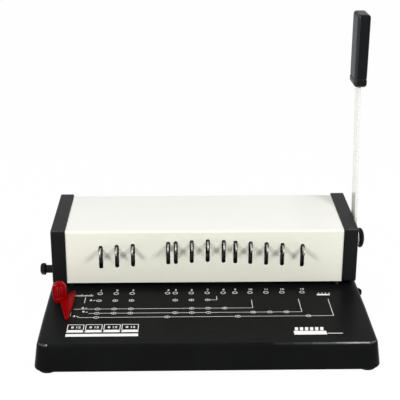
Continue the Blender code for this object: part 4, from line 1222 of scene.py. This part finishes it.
# The two small scales at the ends of the hole row
bar((-0.1533, -0.0230), (-0.1328, -0.0233), 0.0012)
for step in range(10):
    x = -0.1528 + 0.0198 * step / 9
    tall = 0.0058 if step in (3, 8) else 0.0032
    bar((x, -0.0243), (x + 0.0002, -0.0243 + tall), 0.0006)
bar((0.1322, -0.0246), (0.1474, -0.0248), 0.0034)
for x in (0.1345, 0.1385, 0.1425, 0.1470):
    bar((x, -0.0240), (x + 0.0006, -0.0190), 0.0007)

# The four label boxes with the bar below them, and the name block
BOX_TOP = -0.0963
BOX_FOOT = -0.1118
BOX_SIDE = 0.0004
BOX_NUMBER_Y = -0.1030
BOX_NUMBER_SIZE = 0.0060
for left, right in ((-0.1546, -0.1361), (-0.1345, -0.1159), (-0.1143, -0.0959), (-0.0945, -0.0758)):
    bar((left, BOX_TOP), (right, BOX_TOP - 0.0003), 0.0009)
    bar((left, BOX_FOOT), (right, BOX_FOOT), 0.0056)
    for x in (left + BOX_SIDE, right - BOX_SIDE):
        bar((x, BOX_TOP), (x, BOX_FOOT), 0.0008)
    for label, shift in (("8", 0.0058), ("12", 0.0120)):
        number_mark(label, left + shift, BOX_NUMBER_Y, BOX_NUMBER_SIZE)
bar((-0.1546, -0.1211), (-0.0758, -0.1211), 0.0060)
bar((0.0945, -0.1195), (0.1302, -0.1197), 0.0084)
for step in range(6):
    x = 0.0962 + 0.0056 * step
    bar((x + 0.0014, -0.1143), (x + 0.0024, -0.1068), 0.0036)
bar((0.1309, -0.1211), (0.1477, -0.1213), 0.0012)
solid("printed_chart", gathered(print_shapes), white_ink, "machine_base", smooth=30)


# Floor, light and camera
FLOOR_HALF = 8
FLOOR_GLOW = 0.985
WORLD_STRENGTH = 0.30
LAMP_TARGET = Vector((0.0, 0.0, 0.08))
CAMERA_PLACE = Vector((-0.03027, -1.06601, 0.53963))
CAMERA_YAW = radians(1.305)
CAMERA_PITCH = radians(20.201)
CAMERA_ROLL = radians(0.127)
FOCAL_LENGTH = 974.0
PICTURE_WIDTH = 400.0
SENSOR_WIDTH = 36.0


def floor_material():
    """White paper: mostly its own glow where the camera or a reflection sees it, else matt."""
    material = bpy.data.materials.new("floor_paper")
    material.use_nodes = True
    tree = material.node_tree
    tree.nodes.clear()
    out = tree.nodes.new("ShaderNodeOutputMaterial")
    mix = tree.nodes.new("ShaderNodeMixShader")
    matte = tree.nodes.new("ShaderNodeBsdfDiffuse")
    matte.inputs["Color"].default_value = (0.88, 0.88, 0.88, 1)
    glow = tree.nodes.new("ShaderNodeEmission")
    glow.inputs["Color"].default_value = (1, 1, 1, 1)
    rays = tree.nodes.new("ShaderNodeLightPath")
    seen = tree.nodes.new("ShaderNodeMath")
    seen.operation = "MAXIMUM"
    tree.links.new(rays.outputs["Is Camera Ray"], seen.inputs[0])
    tree.links.new(rays.outputs["Is Glossy Ray"], seen.inputs[1])
    share = tree.nodes.new("ShaderNodeMath")
    share.operation = "MULTIPLY"
    share.inputs[1].default_value = FLOOR_GLOW
    tree.links.new(seen.outputs["Value"], share.inputs[0])
    tree.links.new(share.outputs["Value"], mix.inputs["Fac"])
    tree.links.new(matte.outputs["BSDF"], mix.inputs[1])
    tree.links.new(glow.outputs["Emission"], mix.inputs[2])
    tree.links.new(mix.outputs["Shader"], out.inputs["Surface"])
    return material


floor_bm = bmesh.new()
floor_corners = rectangle((-FLOOR_HALF, -FLOOR_HALF), (FLOOR_HALF, FLOOR_HALF))
floor_bm.faces.new([floor_bm.verts.new((x, y, 0.0)) for x, y in floor_corners])
floor = new_object("floor", floor_bm)
floor.data.materials.append(floor_material())

# The world looks white, and lights with less than it shows
world = bpy.data.worlds.new("studio")
bpy.context.scene.world = world
world.use_nodes = True
tree = world.node_tree
background = tree.nodes["Background"]
rays = tree.nodes.new("ShaderNodeLightPath")
direct = tree.nodes.new("ShaderNodeMath")
direct.operation = "MAXIMUM"
tree.links.new(rays.outputs["Is Camera Ray"], direct.inputs[0])
tree.links.new(rays.outputs["Is Glossy Ray"], direct.inputs[1])
through = tree.nodes.new("ShaderNodeMath")
through.operation = "MAXIMUM"
tree.links.new(direct.outputs["Value"], through.inputs[0])
tree.links.new(rays.outputs["Is Transmission Ray"], through.inputs[1])
strength = tree.nodes.new("ShaderNodeMapRange")
strength.inputs["To Min"].default_value = WORLD_STRENGTH
strength.inputs["To Max"].default_value = 1.0
tree.links.new(through.outputs["Value"], strength.inputs["Value"])
background.inputs["Color"].default_value = (1, 1, 1, 1)
tree.links.new(strength.outputs["Result"], background.inputs["Strength"])


def lamp(name, direction, distance, size, power):
    data = bpy.data.lights.new(name, "AREA")
    data.shape = "RECTANGLE"
    data.size = size[0]
    data.size_y = size[1]
    data.energy = power
    obj = bpy.data.objects.new(name, data)
    bpy.context.scene.collection.objects.link(obj)
    outward = Vector(direction).normalized()
    obj.location = LAMP_TARGET + outward * distance
    obj.rotation_euler = outward.to_track_quat("Z", "Y").to_euler()


def toward(azimuth, elevation):
    a, e = radians(azimuth), radians(elevation)
    return (sin(a) * cos(e), -cos(a) * cos(e), sin(e))


for side, azimuth in (("left", -43), ("right", 43)):
    lamp(f"{side}_softbox", toward(azimuth, 32), 1.3, (0.28, 0.28), 8.6)
for side, x, distance in (("left", -0.36, 1.27), ("right", 0.43, 1.29)):
    lamp(f"{side}_strip", (x, 0.0, 1.22), distance, (0.8, 0.07), 2.8)

forward = Vector((
    sin(CAMERA_YAW) * cos(CAMERA_PITCH),
    cos(CAMERA_YAW) * cos(CAMERA_PITCH),
    -sin(CAMERA_PITCH),
))
level_right = Vector((cos(CAMERA_YAW), -sin(CAMERA_YAW), 0.0))
level_up = level_right.cross(forward)
camera_right = cos(CAMERA_ROLL) * level_right + sin(CAMERA_ROLL) * level_up
camera_up = camera_right.cross(forward)
camera_data = bpy.data.cameras.new("camera")
camera_data.sensor_width = SENSOR_WIDTH
camera_data.lens = FOCAL_LENGTH * SENSOR_WIDTH / PICTURE_WIDTH
camera = bpy.data.objects.new("camera", camera_data)
bpy.context.scene.collection.objects.link(camera)
camera_turn = Matrix((camera_right, camera_up, -forward)).transposed().to_4x4()
camera.matrix_world = Matrix.Translation(origin + CAMERA_PLACE) @ camera_turn
bpy.context.scene.camera = camera
bpy.context.scene.view_settings.view_transform = "Standard"
